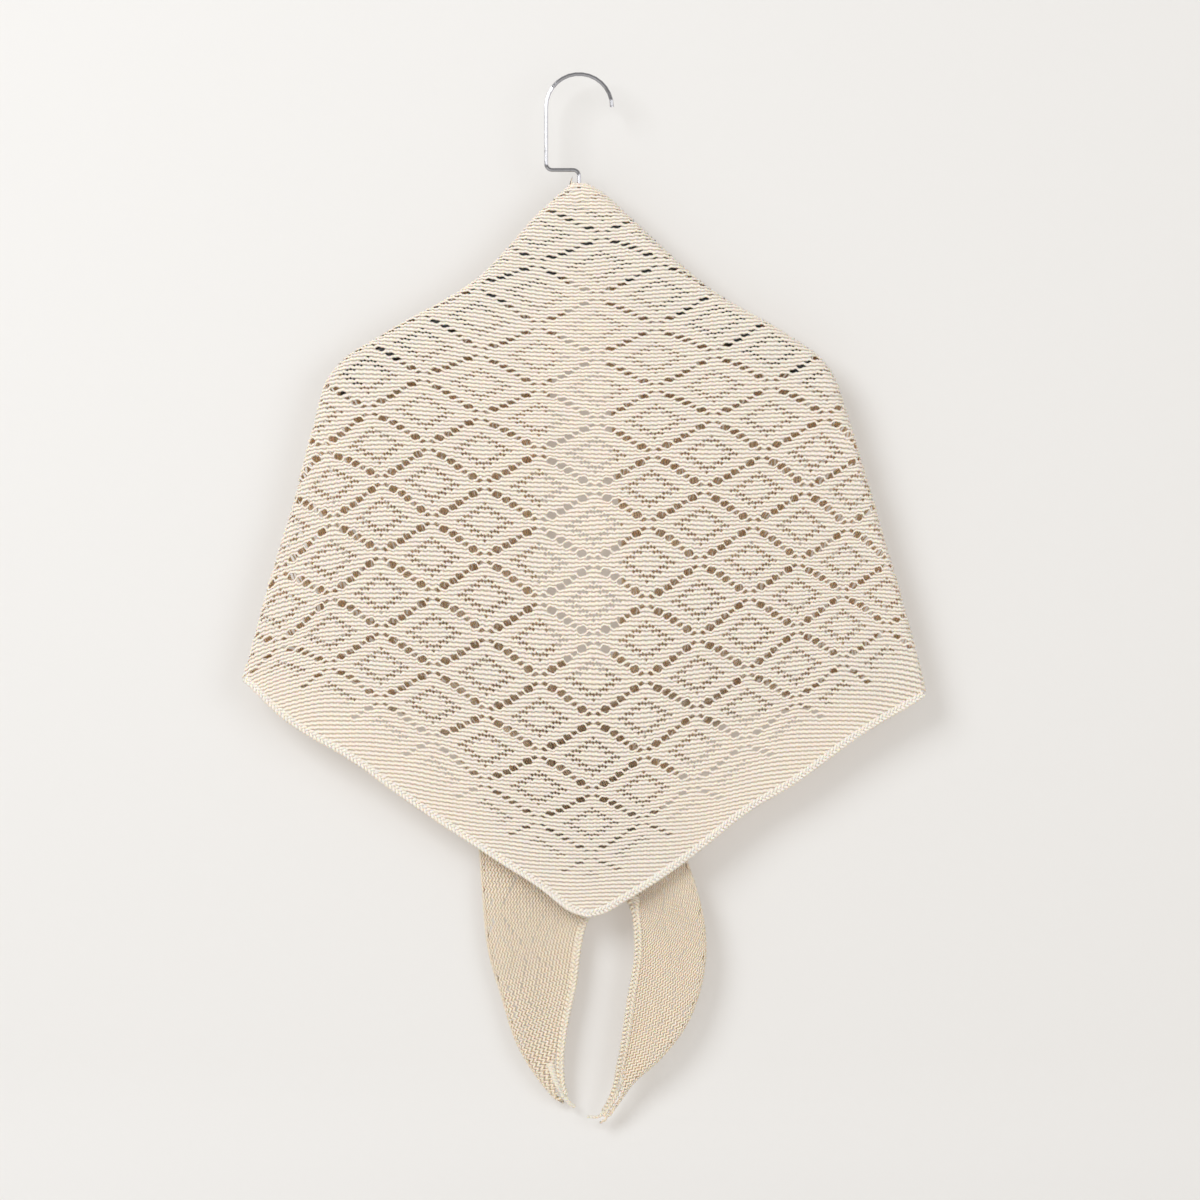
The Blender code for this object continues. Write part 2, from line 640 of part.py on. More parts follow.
def solid_from_curve(name, data, collection, finish):
    """Stand a curve drawn on the ground upright and keep it as a closed mesh."""
    drawn = bpy.data.objects.new(name + "_curve", data)
    collection.objects.link(drawn)
    drawn.rotation_euler = (math.pi / 2, 0, 0)
    bpy.context.view_layer.update()
    depsgraph = bpy.context.evaluated_depsgraph_get()
    mesh = bpy.data.meshes.new_from_object(drawn.evaluated_get(depsgraph))
    mesh.materials.clear()
    welded = bmesh.new()
    welded.from_mesh(mesh)
    bmesh.ops.remove_doubles(welded, verts=welded.verts, dist=0.01 * MM)
    bmesh.ops.recalc_face_normals(welded, faces=welded.faces)
    welded.to_mesh(mesh)
    welded.free()
    made = keep(name, mesh, collection, finish)
    made.matrix_world = drawn.matrix_world
    bpy.data.objects.remove(drawn)
    mesh.shade_smooth()
    mesh.set_sharp_from_angle(angle=math.radians(40))


def hanger_hook(collection, finish):
    """One wire: crown, leg down the left, level stretch, and stem into the neck."""
    crown_height = WIRE / 2 - HOOK_RADIUS
    foot = HOOK_FOOT + HOOK_BEND
    route = bend((0, crown_height), HOOK_RADIUS, 0, 180)
    route += bend((HOOK_BEND - HOOK_RADIUS, foot), HOOK_BEND, 180, 270)
    route += bend((-HOOK_BEND, HOOK_FOOT - HOOK_BEND), HOOK_BEND, 90, 0)
    route.append((0, NECK_TOP + SEAM_GAP))
    data = curve("hanger_hook", route, False)
    data.dimensions = "3D"
    data.bevel_depth = WIRE / 2 * MM
    data.bevel_resolution = 2
    data.use_fill_caps = True
    solid_from_curve("hanger_hook", data, collection, finish)


def hanger_body(collection, finish):
    """Flat hanger with a rounded edge that the two folds lie on."""
    neck = NECK_TOP - HANGER_ROUNDING
    sides = []
    for side in ("left", "right"):
        line = inset(FOLDS[side].evenly(EDGE_SPACING), -SIDE_SIGN[side] * (FOLD_RADIUS + HANGER_PLAY))
        keeps = (line[:, 1] < neck) & (line[:, 1] > SHOULDER_END)
        keeps &= line[:, 0] * SIDE_SIGN[side] > NECK_HALF_WIDTH
        sides.append([tuple(place) for place in line[keeps]])
    lower = [(across, height + HANGER_ROUNDING) for across, height in HANGER_LOWER_EDGE]
    top = [(-NECK_HALF_WIDTH, neck), (NECK_HALF_WIDTH, neck)]
    outline = sides[0][::-1] + top + sides[1] + lower[::-1]
    data = curve("hanger_body", outline, True)
    data.dimensions = "2D"
    data.fill_mode = "BOTH"
    data.extrude = (HANGER_THICKNESS / 2 - HANGER_ROUNDING) * MM
    data.bevel_depth = HANGER_ROUNDING * MM
    data.bevel_resolution = 2
    solid_from_curve("hanger_body", data, collection, finish)


def main():
    for old in list(bpy.data.objects):
        bpy.data.objects.remove(old)
    collection = bpy.data.collections.new("triangle_shawl")
    bpy.context.scene.collection.children.link(collection)
    cream = material("cream_knit", CREAM, 0.9)
    tail_cream = material("cream_knit_inside", TAIL_CREAM, 0.9)
    front_panel(collection, cream)
    for side in ("left", "right"):
        other = {"left": "right", "right": "left"}[side]
        edging_front(side, collection, cream)
        edging_wing(side, collection, tail_cream)
        start = HOOK_COLUMN * SIDE_SIGN[side] + HOOK_COLUMNS_FREE
        wing_part("wing_" + side, side, start, TAIL_FIRST_COLUMN, False, collection, tail_cream)
        tail_start = TAIL_FIRST_COLUMN + TAIL_GAP_COLUMNS
        tail_end = LAST_ROW - TAIL_END_COLUMNS
        wing_part("tail_" + other, side, tail_start, tail_end, True, collection, tail_cream)
    hanger_body(collection, material("black_plastic", BLACK, 0.45))
    hanger_hook(collection, material("chrome_wire", CHROME, 0.15, 1.0))


main()
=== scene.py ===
"""Looks of the triangle shawl: every knitted row, the braided edging, rolled edges, yarn, wire and hanger.

Lengths are in millimetres and are scaled by MM where a mesh is made. +X is to the viewer's right,
+Z up, the front of the shawl towards -Y, and the origin is the inner underside of the hook's crown.
The drape is worked out from the same tables as the frame's cloth.
"""

import math

import bpy
import numpy as np
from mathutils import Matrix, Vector


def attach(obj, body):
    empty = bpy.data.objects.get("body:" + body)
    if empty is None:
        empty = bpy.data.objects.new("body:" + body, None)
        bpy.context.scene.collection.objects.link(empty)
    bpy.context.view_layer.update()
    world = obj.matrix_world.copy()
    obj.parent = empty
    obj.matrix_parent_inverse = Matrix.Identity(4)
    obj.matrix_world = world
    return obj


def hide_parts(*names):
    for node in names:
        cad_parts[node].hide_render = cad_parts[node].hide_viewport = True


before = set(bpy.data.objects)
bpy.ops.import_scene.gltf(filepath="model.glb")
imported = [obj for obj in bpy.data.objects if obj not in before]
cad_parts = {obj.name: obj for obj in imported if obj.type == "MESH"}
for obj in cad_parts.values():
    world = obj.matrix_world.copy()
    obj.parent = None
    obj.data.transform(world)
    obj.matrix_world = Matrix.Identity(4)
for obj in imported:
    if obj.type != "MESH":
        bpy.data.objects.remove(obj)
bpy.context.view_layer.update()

MM = 0.001

# Cloth, as in the frame
WALL = 2.0                  # knitted wall, ridge to ridge
FOLD_RADIUS = 7.3           # middle of the cloth round the hanger's rounded edge
WING_PLAY = 1.2             # from the fold to the wing behind it, beyond FOLD_RADIUS
CORNER_RADIUS = 4.6         # the same at the two outer corners, where nothing fills the fold
LAYER_STEP = 7.0            # from one crossing wing to the other
EDGING_WIDTH = 6.5
EDGING_RAILS = (0.8, 3.6, 6.5)  # lines along the edging, from its outer edge inwards
TIP_COLUMNS = 3.0           # columns left off at the tip of each tail's edging

# Knitting chart: columns count outwards from the middle, rows down from the long edge
LAST_ROW = 176.5            # rows at the middle, and columns in each half of the long edge
HOOK_COLUMN = -3.0          # the hook's wire leaves the cloth a little left of the middle
REPEAT = 8                  # columns and rows from one crossing of the lattice to the next
BORDER = 7.0                # rows of plain knitting inside the short edges
HALVINGS = {"fold": 40, "corner": 30, "row end": 22}  # rounds of each search by halves
TINY = 1e-9                 # least length to divide by
LEAST_GAP = 1e-6            # the same for the distance to a fold

# Where the shawl folds over the hanger and hangs on down to its outer corners
LEFT_FOLD = (
    # across, height
    (-6, -89), (-13, -95), (-35, -115), (-58, -141), (-84, -167), (-110, -184), (-140, -200),
    (-167, -216), (-194, -234), (-206, -249), (-212, -266), (-216, -282), (-225, -315),
    (-233, -348), (-243, -380), (-253, -413), (-262, -446), (-271, -479), (-276, -495),
)
RIGHT_FOLD = (
    # across, height
    (6, -89), (17, -95), (40, -115), (68, -141), (97, -167), (121, -184), (150, -200),
    (173, -214), (199, -233), (210, -249), (216, -266), (221, -282), (231, -315),
    (241, -348), (250, -380), (260, -413), (269, -446), (278, -479), (285, -509),
)

# The front's lower edge, from the left corner over the point to the right corner
FRONT_HEM = (
    # across, height
    (-276, -495), (-243, -527), (-185, -563), (-141, -595), (-92, -628), (-40, -661), (9, -690),
    (44, -673), (92, -641), (139, -604), (180, -579), (230, -542), (285, -509),
)

# The long edge of each wing, from the hook down behind the front to the tip of its tail
LEFT_LONG_EDGE = (
    # across, height
    (-8, -96), (-8, -175), (-17, -225), (-24, -266), (-27, -307), (-34, -380), (-34, -430),
    (-19, -471), (9, -508), (58, -585), (91, -651), (102, -692), (104, -720), (100, -748),
    (88, -780), (68, -806), (44, -828), (30, -847), (18, -860), (6, -857),
)
RIGHT_LONG_EDGE = (
    # across, height
    (8, -96), (10, -175), (20, -225), (25, -266), (28, -307), (35, -380), (35, -430),
    (30, -471), (9, -508), (-40, -540), (-77, -573), (-84, -606), (-83, -633), (-80, -676),
    (-75, -721), (-64, -760), (-52, -797), (-33, -827), (-18, -842), (-3, -850),
)

# The edged side of each wing, from the outer corner behind the front to the tip of its tail
LEFT_WING_HEM = (
    # across, height
    (-276, -495), (-229, -503), (-171, -517), (-122, -534), (-98, -563), (-65, -606), (-16, -649),
    (40, -680), (45, -713), (39, -757), (31, -809), (24, -838), (14, -852), (5, -853),
)
RIGHT_WING_HEM = (
    # across, height
    (285, -509), (230, -517), (173, -520), (120, -530), (91, -561), (58, -610), (34, -659),
    (9, -692), (-2, -749), (-10, -789), (-12, -812), (-9, -836), (-4, -846), (-2, -848),
)

# How the chart lies on the front: one entry of columns for each sixteenth row.
# height and middle place the middle column, stitch is the width of a stitch beside it,
# narrowing is the share that it has lost 48 columns out, rise lifts the row 24 and 48 columns out.
FRONT_ROWS = {
    "row": (0, 16, 32, 48, 64, 80, 96, 112, 128, 144, 160, 176.5),
    "height": (-88, -133, -182, -232, -283, -339, -399, -463, -527, -586, -638, -690),
    "middle": (17, 17, 15, 15, 15, 13, 12, 12, 12, 11, 10, 9),
    "stitch_left": (6.0, 6.0, 6.0, 6.0, 6.0, 5.7, 5.6, 5.5, 5.5, 5.5, 5.5, 5.5),
    "stitch_right": (6.0, 6.0, 6.0, 6.0, 6.0, 5.7, 5.5, 5.4, 5.3, 5.2, 5.2, 5.2),
    "narrowing_left": (.08, .08, .08, .08, .08, .10, .06, .03, .02, .02, .02, .02),
    "narrowing_right": (.08, .08, .08, .08, .10, .12, .10, .08, .05, .03, .03, .03),
    "rise_24_left": (8, 8, 9, 9, 7, 6, 5, 7, 11, 13, 12, 6),
    "rise_48_left": (-8, -8, -8, -8, -8, -7, -7, -3, 8, 14, 14, 6),
    "rise_24_right": (6, 6, 5, 4, 2, 0, 1, 6, 10, 12, 12, 6),
    "rise_48_right": (-8, -8, -8, -8, -6, -4, 0, 11, 14, 14, 14, 6),
}

# How the cloth stands out from its flat places
SWELL = 4.0                 # the front stands out this much below the neck
SWELL_HEIGHT = -205.0
SWELL_RISE = 45.0           # half of the swell's height, and of its breadth
SWELL_BREADTH = 110.0
SWAY = 2.0                  # side to side wave of the front near its point
WIRE_ROOM = 3.3             # the front keeps this far from the wire under the hook
SLACK = 2.4                 # soft level folds of the wings below the hanger
CURL = 2.5                  # the right wing's end bends this much across
EDGE_CURL = 5.0             # its long edge turns back by this much
EDGE_CURL_SHARE = 0.22      # over this share of its breadth
TROUGH = 6.0                # the left wing's end is hollow by this much
TROUGH_LEAN = 3.0

# Spacing of the places along the front's edges, before they are drawn finely
EDGE_SPACING = 15.0
FINE_SPACING = 3.0

# One line of the lattice, from a crossing to the next: rows down, columns across, and each hole's size
LATTICE_LINE = (
    # rows, columns, width in columns, height in rows
    (1, 0.70, 0.80, 0.75),
    (2, 1.83, 1.40, 1.50),
    (3, 3.20, 1.25, 1.25),
    (4, 4.15, 1.25, 1.25),
    (5, 5.15, 0.85, 0.80),
    (6, 6.27, 1.40, 1.50),
    (7, 7.30, 0.80, 0.75),
)
RING_REACH = 3.5            # columns and rows, added up, from a diamond's middle to its ring of pinholes
RING_WIDTH = 0.95           # the ring's breadth to each side of that, in the same measure
PINHOLE = 0.36              # half height of a pinhole in the ring, in rows
STITCH_GAP = -0.02          # the same between plain stitches, which overlap a little
PARTING_REACH = 2.5         # rows above and below a hole that give way to it
TEETH = 4 * math.pi         # turn of a knitted row's teeth, which come twice in each column

# How wide open the holes are, by row
OPENNESS = {
    "row": (0, 40, 62, 74, 140, 150, 162, 176.5),
    "share": (.42, .48, .7, 1.0, 1.0, .75, .45, .35),
}

# Shape of a knitted row: wave up and down, in rows; bump in and out, in millimetres
OUTSIDE_STITCH = {"wave": 0.11, "bump": 0.46, "steps": 4}
TAIL_STITCH = {"wave": 0.34, "bump": 0.30, "steps": 4}
HIDDEN_STITCH = {"wave": 0.20, "bump": 0.0, "steps": 2}

ROLL_ROWS = 4.0             # rows of the long edge that roll back
ROLL_RADIUS = 1.6
ROLL_TURN = math.radians(235)
ROLL_KEEPS = 0.25           # share of those rows that the roll takes up across the cloth
ROLL_SHARE = 0.4            # the most of a short column that rolls

# Stretches of the knitting
FRONT_BANDS = ((0, 92), (92, 128), (128, 177))
TAIL_FIRST_COLUMN = 112.0
TAIL_END_COLUMNS = 2.5      # columns at a tail's tip with no knitted rows
UNDER_EDGING = 1.2          # the rows end this far under the edging
FRONT_REACH = 62.0          # more columns than the front has to either side
COLUMN_STEP = 0.1           # columns tried in the search for a wing's row ends
LEAST_SHARE = 0.25          # share of a short column that keeps its rows beside the edging

# Braided edging
BRAID_STEP = 0.9            # from one place along a strand to the next
BRAID_STRAND = 1.2          # radius of a strand
BRAID_PITCH = 10.5          # length of one full turn of a strand
BRAID_DEPTH = 0.8           # strands rise and dip by this much
BRAID_OVERLAP = 1.6         # the two front braids run into each other at the point
BRAID_START = 2.0           # from an outer corner to the start of the front's braid
PICOT_PITCH = 3.3           # from one small loop on the outer side to the next
PICOT_REACH = 1.5
PICOT_WIRE = 0.5
PICOT_SUNK = 0.9            # the loops' thread starts this far inside the braid's outer edge
TIP_SHARE = 0.3             # at the tip the edging lies over this share of the column and beyond
TIP_SPREAD = 0.5            # share from its inner to its outer line there
TIP_COLUMN_STEP = 0.3       # columns from one place to the next along a wing's edging

# Twisted cord at the tip of each tail: its first and last column, and its size
TIP_CORD = {"first": 166.0, "last": 176.3, "radius": 1.9, "end_radius": 0.9, "twist": 8.0}
TIP_CORD_PLACES = 60
TIP_CORD_ACROSS = 0.55      # share of the way from the long edge to the edging

# Colours of the yarn with its painted shade, the wire, the hanger and the studio, matched to the photograph
CREST = (0.95, 0.845, 0.75, 1)
# painted shade between the ridges, warm as light comes through the wool
PAINTED_VALLEY_SHADE = (0.86, 0.68, 0.53, 1)
# painted warm shade, with light coming through the wool, on the inward face of each row
INNER_CREST_WARM_SHADE = (0.95, 0.71, 0.47, 1)
# the tails' yarn: the same cream darkened with painted shade, deepest between the ridges
TAIL_CREST_SHADED = (0.90, 0.78, 0.64, 1)
TAIL_VALLEY_PAINTED_SHADE = (0.60, 0.45, 0.31, 1)
WIRE_TINTS = ((0.42, 0.42, 0.44, 1), (0.33, 0.33, 0.35, 1))
HANGER_TINTS = ((0.014, 0.014, 0.015, 1), (0.030, 0.029, 0.028, 1))
BACKDROP = (0.525, 0.54, 0.55, 1)
BACKDROP_GLOW = (0.27, 0.24, 0.21, 1)
WORLD_LIGHT = (1.0, 0.985, 0.96, 1)

# Studio, in metres and watts: wall and floor behind the shawl, two soft lights and what the world adds
WALL_PLACE = 0.032
WALL_TOP = 2.2
FLOOR_HEIGHT = -0.96
FLOOR_FRONT = -6.0
FLOOR_BEND = 0.15
BACKDROP_HALF_WIDTH = 5.0
KEY_LIGHT = {"place": (-1.5, -2.2, 0.9), "aim": (0, 0, -0.4), "size": 1.6, "power": 51}
FILL_LIGHT = {"place": (1.8, -2.4, 0.0), "aim": (0, 0, -0.5), "size": 1.8, "power": 18}
WORLD_STRENGTH = 0.45

# Camera: straight in front, framed as the photograph is
CAMERA_DISTANCE = 2.6
CAMERA_PLACE = (0.0172, -0.4297)
FRAME_WIDTH = 0.984
SENSOR_WIDTH = 36.0


def steady_curve(knots, values, at):
    """Smooth curve through the values, read at any places."""
    knots = np.asarray(knots, float)
    values = np.asarray(values, float)
    steps = np.diff(knots)
    slopes = np.diff(values) / steps
    tangents = np.empty_like(values)
    tangents[0] = slopes[0]
    tangents[-1] = slopes[-1]
    tangents[1:-1] = (slopes[:-1] * steps[1:] + slopes[1:] * steps[:-1]) / (steps[:-1] + steps[1:])
    at = np.clip(at, knots[0], knots[-1])
    spot = np.clip(np.searchsorted(knots, at, side="right") - 1, 0, len(steps) - 1)
    part = (at - knots[spot]) / steps[spot]
    rest = 1 - part
    return (
        values[spot] * rest ** 2 * (1 + 2 * part)
        + values[spot + 1] * part ** 2 * (3 - 2 * part)
        + steps[spot] * part * rest * (tangents[spot] * rest - tangents[spot + 1] * part)
    )


class Route:
    """Smooth curve through a short table of places, measured along its length."""

    def __init__(self, places):
        places = np.array(places, float)
        chords = np.hypot(*np.diff(places, axis=0).T)
        knots = np.concatenate(([0], np.cumsum(chords)))
        fine = np.linspace(0, knots[-1], 40 * len(places))
        self.fine = np.stack([steady_curve(knots, places[:, axis], fine) for axis in (0, 1)], 1)
        self.marks = np.concatenate(([0], np.cumsum(np.hypot(*np.diff(self.fine, axis=0).T))))
        self.length = self.marks[-1]

    def at(self, distance):
        """Places at distances from the start."""
        return np.stack([np.interp(distance, self.marks, self.fine[:, axis]) for axis in (0, 1)], -1)

    def evenly(self, spacing, first=0.0, last=None):
        """Places at about even spacing between two distances."""
        last = self.length if last is None else last
        count = max(2, round((last - first) / spacing) + 1)
        return self.at(np.linspace(first, last, count))

    def nearest(self, places, coarse=4):
        """Closest place on the curve and the distance to it."""
        starts = self.fine[:-coarse:coarse]
        runs = self.fine[coarse::coarse] - starts
        away = places[:, None, :] - starts[None]
        part = np.clip((away * runs).sum(-1) / (runs ** 2).sum(-1), 0, 1)
        feet = starts + part[..., None] * runs
        gaps = np.hypot(*np.moveaxis(places[:, None, :] - feet, -1, 0))
        best = gaps.argmin(1)
        pick = np.arange(len(places))
        return feet[pick, best], gaps[pick, best]


def inset(places, distance):
    """Line beside a row of places, on their left for a positive distance."""
    ahead = np.gradient(places, axis=0)
    ahead /= np.hypot(ahead[:, 0], ahead[:, 1])[:, None]
    return places + distance * np.stack([-ahead[:, 1], ahead[:, 0]], 1)


FOLDS = {"left": Route(LEFT_FOLD), "right": Route(RIGHT_FOLD)}
WHOLE_FOLD = Route(tuple(reversed(LEFT_FOLD)) + RIGHT_FOLD)
LONG_EDGES = {"left": Route(LEFT_LONG_EDGE), "right": Route(RIGHT_LONG_EDGE)}
WING_HEMS = {"left": Route(LEFT_WING_HEM), "right": Route(RIGHT_WING_HEM)}
HEM = Route(FRONT_HEM)
SIDE_SIGN = {"left": -1, "right": 1}


def smooth_step(low, high, at):
    """0 up to low and 1 from high on, with a soft change between."""
    part = np.clip((at - low) / (high - low), 0, 1)
    return part * part * (3 - 2 * part)


def chart_on_front(column, row):
    """Flat place of a stitch on the front, before the folds are rounded."""
    column = np.asarray(column, float)
    row = np.asarray(row, float)

    def read(name):
        return steady_curve(FRONT_ROWS["row"], FRONT_ROWS[name], row)

    on_left = column < 0
    stitch = np.where(on_left, read("stitch_left"), read("stitch_right"))
    narrowing = np.where(on_left, read("narrowing_left"), read("narrowing_right"))
    near_rise = np.where(on_left, read("rise_24_left"), read("rise_24_right"))
    far_rise = np.where(on_left, read("rise_48_left"), read("rise_48_right"))
    # Rises as a curve of the second and fourth degree through those 24 and 48 columns out
    reach = np.minimum(np.abs(column), 60) / 24
    fourth = (far_rise - 4 * near_rise) / 12
    across = read("middle") + column * stitch * (1 - narrowing * (reach / 2) ** 2)
    height = read("height") + (near_rise - fourth) * reach ** 2 + fourth * reach ** 4
    return np.stack([across, height], -1)


def fold_row(side, column):
    """Row at which a column of the front reaches its side fold."""
    fold = FOLDS[side].fine
    low, high = 0.0, LAST_ROW
    for _ in range(HALVINGS["fold"]):
        row = (low + high) / 2
        across, height = chart_on_front(SIDE_SIGN[side] * column, row)
        edge = np.interp(-height, -fold[:, 1], fold[:, 0])
        within = (across - edge) * SIDE_SIGN[side] < 0 and height < fold[0, 1]
        low, high = (low, row) if within else (row, high)
    return high


def corner_column(side):
    """Column that runs into the outer corner, where the fold meets the short edge."""
    low, high = 30.0, 70.0
    for _ in range(HALVINGS["corner"]):
        column = (low + high) / 2
        low, high = (column, high) if fold_row(side, column) < LAST_ROW - column else (low, column)
    return low


class Wing:
    """One end of the triangle, folded back over the hanger."""

    def __init__(self, side):
        self.corner = corner_column(side)
        first = HOOK_COLUMN * SIDE_SIGN[side]
        self.columns = np.arange(first, LAST_ROW + 0.25, 0.5)
        inner = self.columns < self.corner
        fold_rows = np.array([fold_row(side, column) for column in self.columns[inner]])
        self.rows = np.concatenate((fold_rows, LAST_ROW - self.columns[~inner]))
        long_edge = LONG_EDGES[side]
        self.starts = long_edge.at((self.columns - first) / (LAST_ROW - first) * long_edge.length)
        fold_places = chart_on_front(SIDE_SIGN[side] * self.columns[inner], fold_rows)
        fold_places = FOLDS[side].nearest(fold_places)[0]
        hem = WING_HEMS[side]
        along = (self.columns[~inner] - self.corner) / (LAST_ROW - self.corner)
        self.ends = np.concatenate((fold_places, hem.at(along * hem.length)))

    def last_row(self, column):
        """Row at which a column ends, at the fold or the short edge."""
        return np.interp(column, self.columns, self.rows)

    def flat(self, column, across):
        """Flat place at a share of the way from the long edge to the fold or the short edge."""
        flat = []
        for axis in (0, 1):
            start = np.interp(column, self.columns, self.starts[:, axis])
            end = np.interp(column, self.columns, self.ends[:, axis])
            flat.append(start + (end - start) * across)
        return np.stack(flat, -1)

    def share_left(self, column, distance):
        """Share across at which a line lies beside the short edge, at a distance from it."""
        reach = self.flat(column, 1.0) - self.flat(column, 0.0)
        tangent = self.flat(column + 0.5, 1.0) - self.flat(column - 0.5, 1.0)
        length = np.hypot(reach[..., 0], reach[..., 1])
        turned = np.abs(reach[..., 0] * tangent[..., 1] - reach[..., 1] * tangent[..., 0])
        lean = turned / length / np.maximum(np.hypot(tangent[..., 0], tangent[..., 1]), TINY)
        return 1 - distance / length / np.maximum(lean, 0.3)


WINGS = {"left": Wing("left"), "right": Wing("right")}


def round_the_fold(flat, fold):
    """Turn the cloth over the hanger's edge.

    Gives the new flat places, the turn's radius, how far the cloth has turned, from 0 at the crest
    to 1 past the turn, and each place's distance to the crest before it was turned.
    """
    radius = CORNER_RADIUS + (FOLD_RADIUS - CORNER_RADIUS) * smooth_step(-480, -250, flat[:, 1])
    foot, gap = fold.nearest(flat)
    inward = (flat - foot) / np.maximum(gap, LEAST_GAP)[:, None]
    quarter = radius * math.pi / 2
    reach = 8 * radius
    turned = radius * (1 - np.cos(np.minimum(gap / radius, math.pi / 2)))
    turned += np.maximum(gap - quarter, 0) * (reach - radius) / (reach - quarter)
    turned = np.where(gap > reach, gap, turned)
    return foot + inward * turned[:, None], radius, np.sin(np.minimum(gap / radius, math.pi / 2)), gap


def front_in_space(flat):
    """The front: round the folds, swelling below the neck and swaying near the point."""
    places, radius, turn, gap = round_the_fold(flat, WHOLE_FOLD)
    across, height = flat[:, 0], flat[:, 1]
    fade = smooth_step(10, 75, gap)
    swell = SWELL * np.exp(-((height - SWELL_HEIGHT) / SWELL_RISE) ** 2)
    swell *= np.exp(-(across / SWELL_BREADTH) ** 2)
    sway = SWAY * np.sin(across / 42 + 0.6) * smooth_step(-380, -640, height)
    depth = radius * turn + fade * (swell + sway)
    wire_room = WIRE_ROOM * (1 - smooth_step(2.5, 9.0, np.abs(across)))
    wire_room *= smooth_step(-110, -92, height)
    depth = np.maximum(depth, wire_room)
    return np.stack([places[:, 0], -depth, places[:, 1]], -1)


def wing_in_space(side, column, across):
    """A wing: round the fold, with soft slack folds, one wing crossing in front of the other."""
    wing = WINGS[side]
    flat = wing.flat(column, across)
    places, radius, turn, gap = round_the_fold(flat, FOLDS[side])
    height = flat[:, 1]
    over_hanger = smooth_step(12, 80, gap)
    slack = SLACK * (1 + np.sin(height / 17 + flat[:, 0] / 46)) * smooth_step(-255, -330, height)
    slack *= 1 - smooth_step(-560, -640, height)
    clearance = WING_PLAY * smooth_step(1, 9, gap)
    depth = radius * turn + clearance + over_hanger * slack
    low = smooth_step(-470, -600, height)
    if side == "right":
        behind = smooth_step(-135, -60, -flat[:, 0]) * smooth_step(400, 490, -height)
        depth = depth + behind * LAYER_STEP + low * CURL * np.sin(across * math.pi)
        depth = depth + low * EDGE_CURL * np.clip(1 - across / EDGE_CURL_SHARE, 0, 1) ** 2
    else:
        trough = smooth_step(-640, -720, height)
        depth = depth + trough * (TROUGH * np.sin(across * math.pi) - TROUGH_LEAN * (1 - across))
    return np.stack([places[:, 0], depth, places[:, 1]], -1)


def inside(places, outline):
    """Whether each place lies within a closed outline."""
    ends = np.roll(outline, -1, axis=0)
    above = outline[None, :, 1] > places[:, None, 1]
    above_next = ends[None, :, 1] > places[:, None, 1]
    rise = ends[:, 1] - outline[:, 1]
    rise = np.where(rise == 0, TINY, rise)
    cut = outline[:, 0] + (places[:, None, 1] - outline[:, 1]) / rise * (ends[:, 0] - outline[:, 0])
    return ((above != above_next) & (places[:, None, 0] < cut)).sum(1) % 2 == 1


def hem_line(side, distance):
    """Line inside one of the front's lower edges, ending a little past the point for the braid."""
    point = HEM.fine[:, 1].argmin()
    middle = HEM.marks[point]
    first, last = (BRAID_START, middle) if side == "left" else (middle, HEM.length - BRAID_START)
    line = inset(HEM.evenly(EDGE_SPACING, first, last), distance)
    end, neighbour = (-1, -2) if side == "left" else (0, 1)
    along = line[end] - line[neighbour]
    mitre = HEM.fine[point, 0] - SIDE_SIGN[side] * BRAID_OVERLAP
    line[end] += along * (mitre - line[end, 0]) / along[0]
    return line


def lattice_holes():
    """Every hole of the lace as column, row, half width and half height, for columns of either side."""
    holes = []
    steps = int(LAST_ROW // REPEAT) + 1
    for down in range(steps):
        for out in range(-steps, steps + 1):
            if (out + down) % 2:
                continue
            for rows, columns, width, height in LATTICE_LINE:
                column = out * REPEAT + columns
                holes.append((column, down * REPEAT + rows, width / 2, height / 2))
                holes.append((column, down * REPEAT - rows, width / 2, height / 2))
    holes = np.array(holes)
    keeps = np.abs(holes[:, 0]) + holes[:, 1] < LAST_ROW - BORDER
    return holes[keeps & (holes[:, 1] > 2)]


HOLES = lattice_holes()


def parting(column, row, course, holes):
    """Rows by which knitting near holes gives way: up above a hole, down below it."""
    across = (column[:, None] - holes[:, 0]) / holes[:, 2]
    away = row[:, None] - holes[:, 1]
    side = np.where(course > holes[:, 1], 1.0, -1.0)
    width = np.clip(1 - across ** 2, 0, 1) ** 0.5
    fall = np.clip(1 - np.abs(away) / PARTING_REACH, 0, 1) ** 2
    return (side * holes[:, 3] * width * fall).sum(1)


def stitch_gaps(column, row):
    """Half height of the gap between two rows at each half stitch, wider in the rings of pinholes."""
    first = (column + row) / REPEAT
    second = (row - column) / REPEAT
    first_away = np.abs((first % 2) - 1)
    second_away = np.abs((second % 2) - 1)
    reach = REPEAT * np.maximum(first_away, second_away)
    ring = 1 - smooth_step(RING_WIDTH * 0.7, RING_WIDTH, np.abs(reach - RING_REACH))
    ring = ring * smooth_step(0, 6, LAST_ROW - BORDER - np.abs(column) - row)
    pinhole = PINHOLE * np.interp(row, OPENNESS["row"], OPENNESS["share"])
    height = STITCH_GAP + (pinhole - STITCH_GAP) * ring
    return height * (0.5 + 0.5 * np.cos(TEETH * column))


def unevenness(column, row):
    """Slow wander of the rows, as hand knitting has it."""
    return (
        0.16 * np.sin(column / 3.1 + row / 11 + 0.7)
        + 0.13 * np.sin(column / 7.3 - row / 5.7)
        + 0.10 * np.sin(column / 1.7 + row / 3.3 + 2.1)
    )


def front_place(column, row):
    """Place of a stitch on the front."""
    return front_in_space(chart_on_front(column, row))


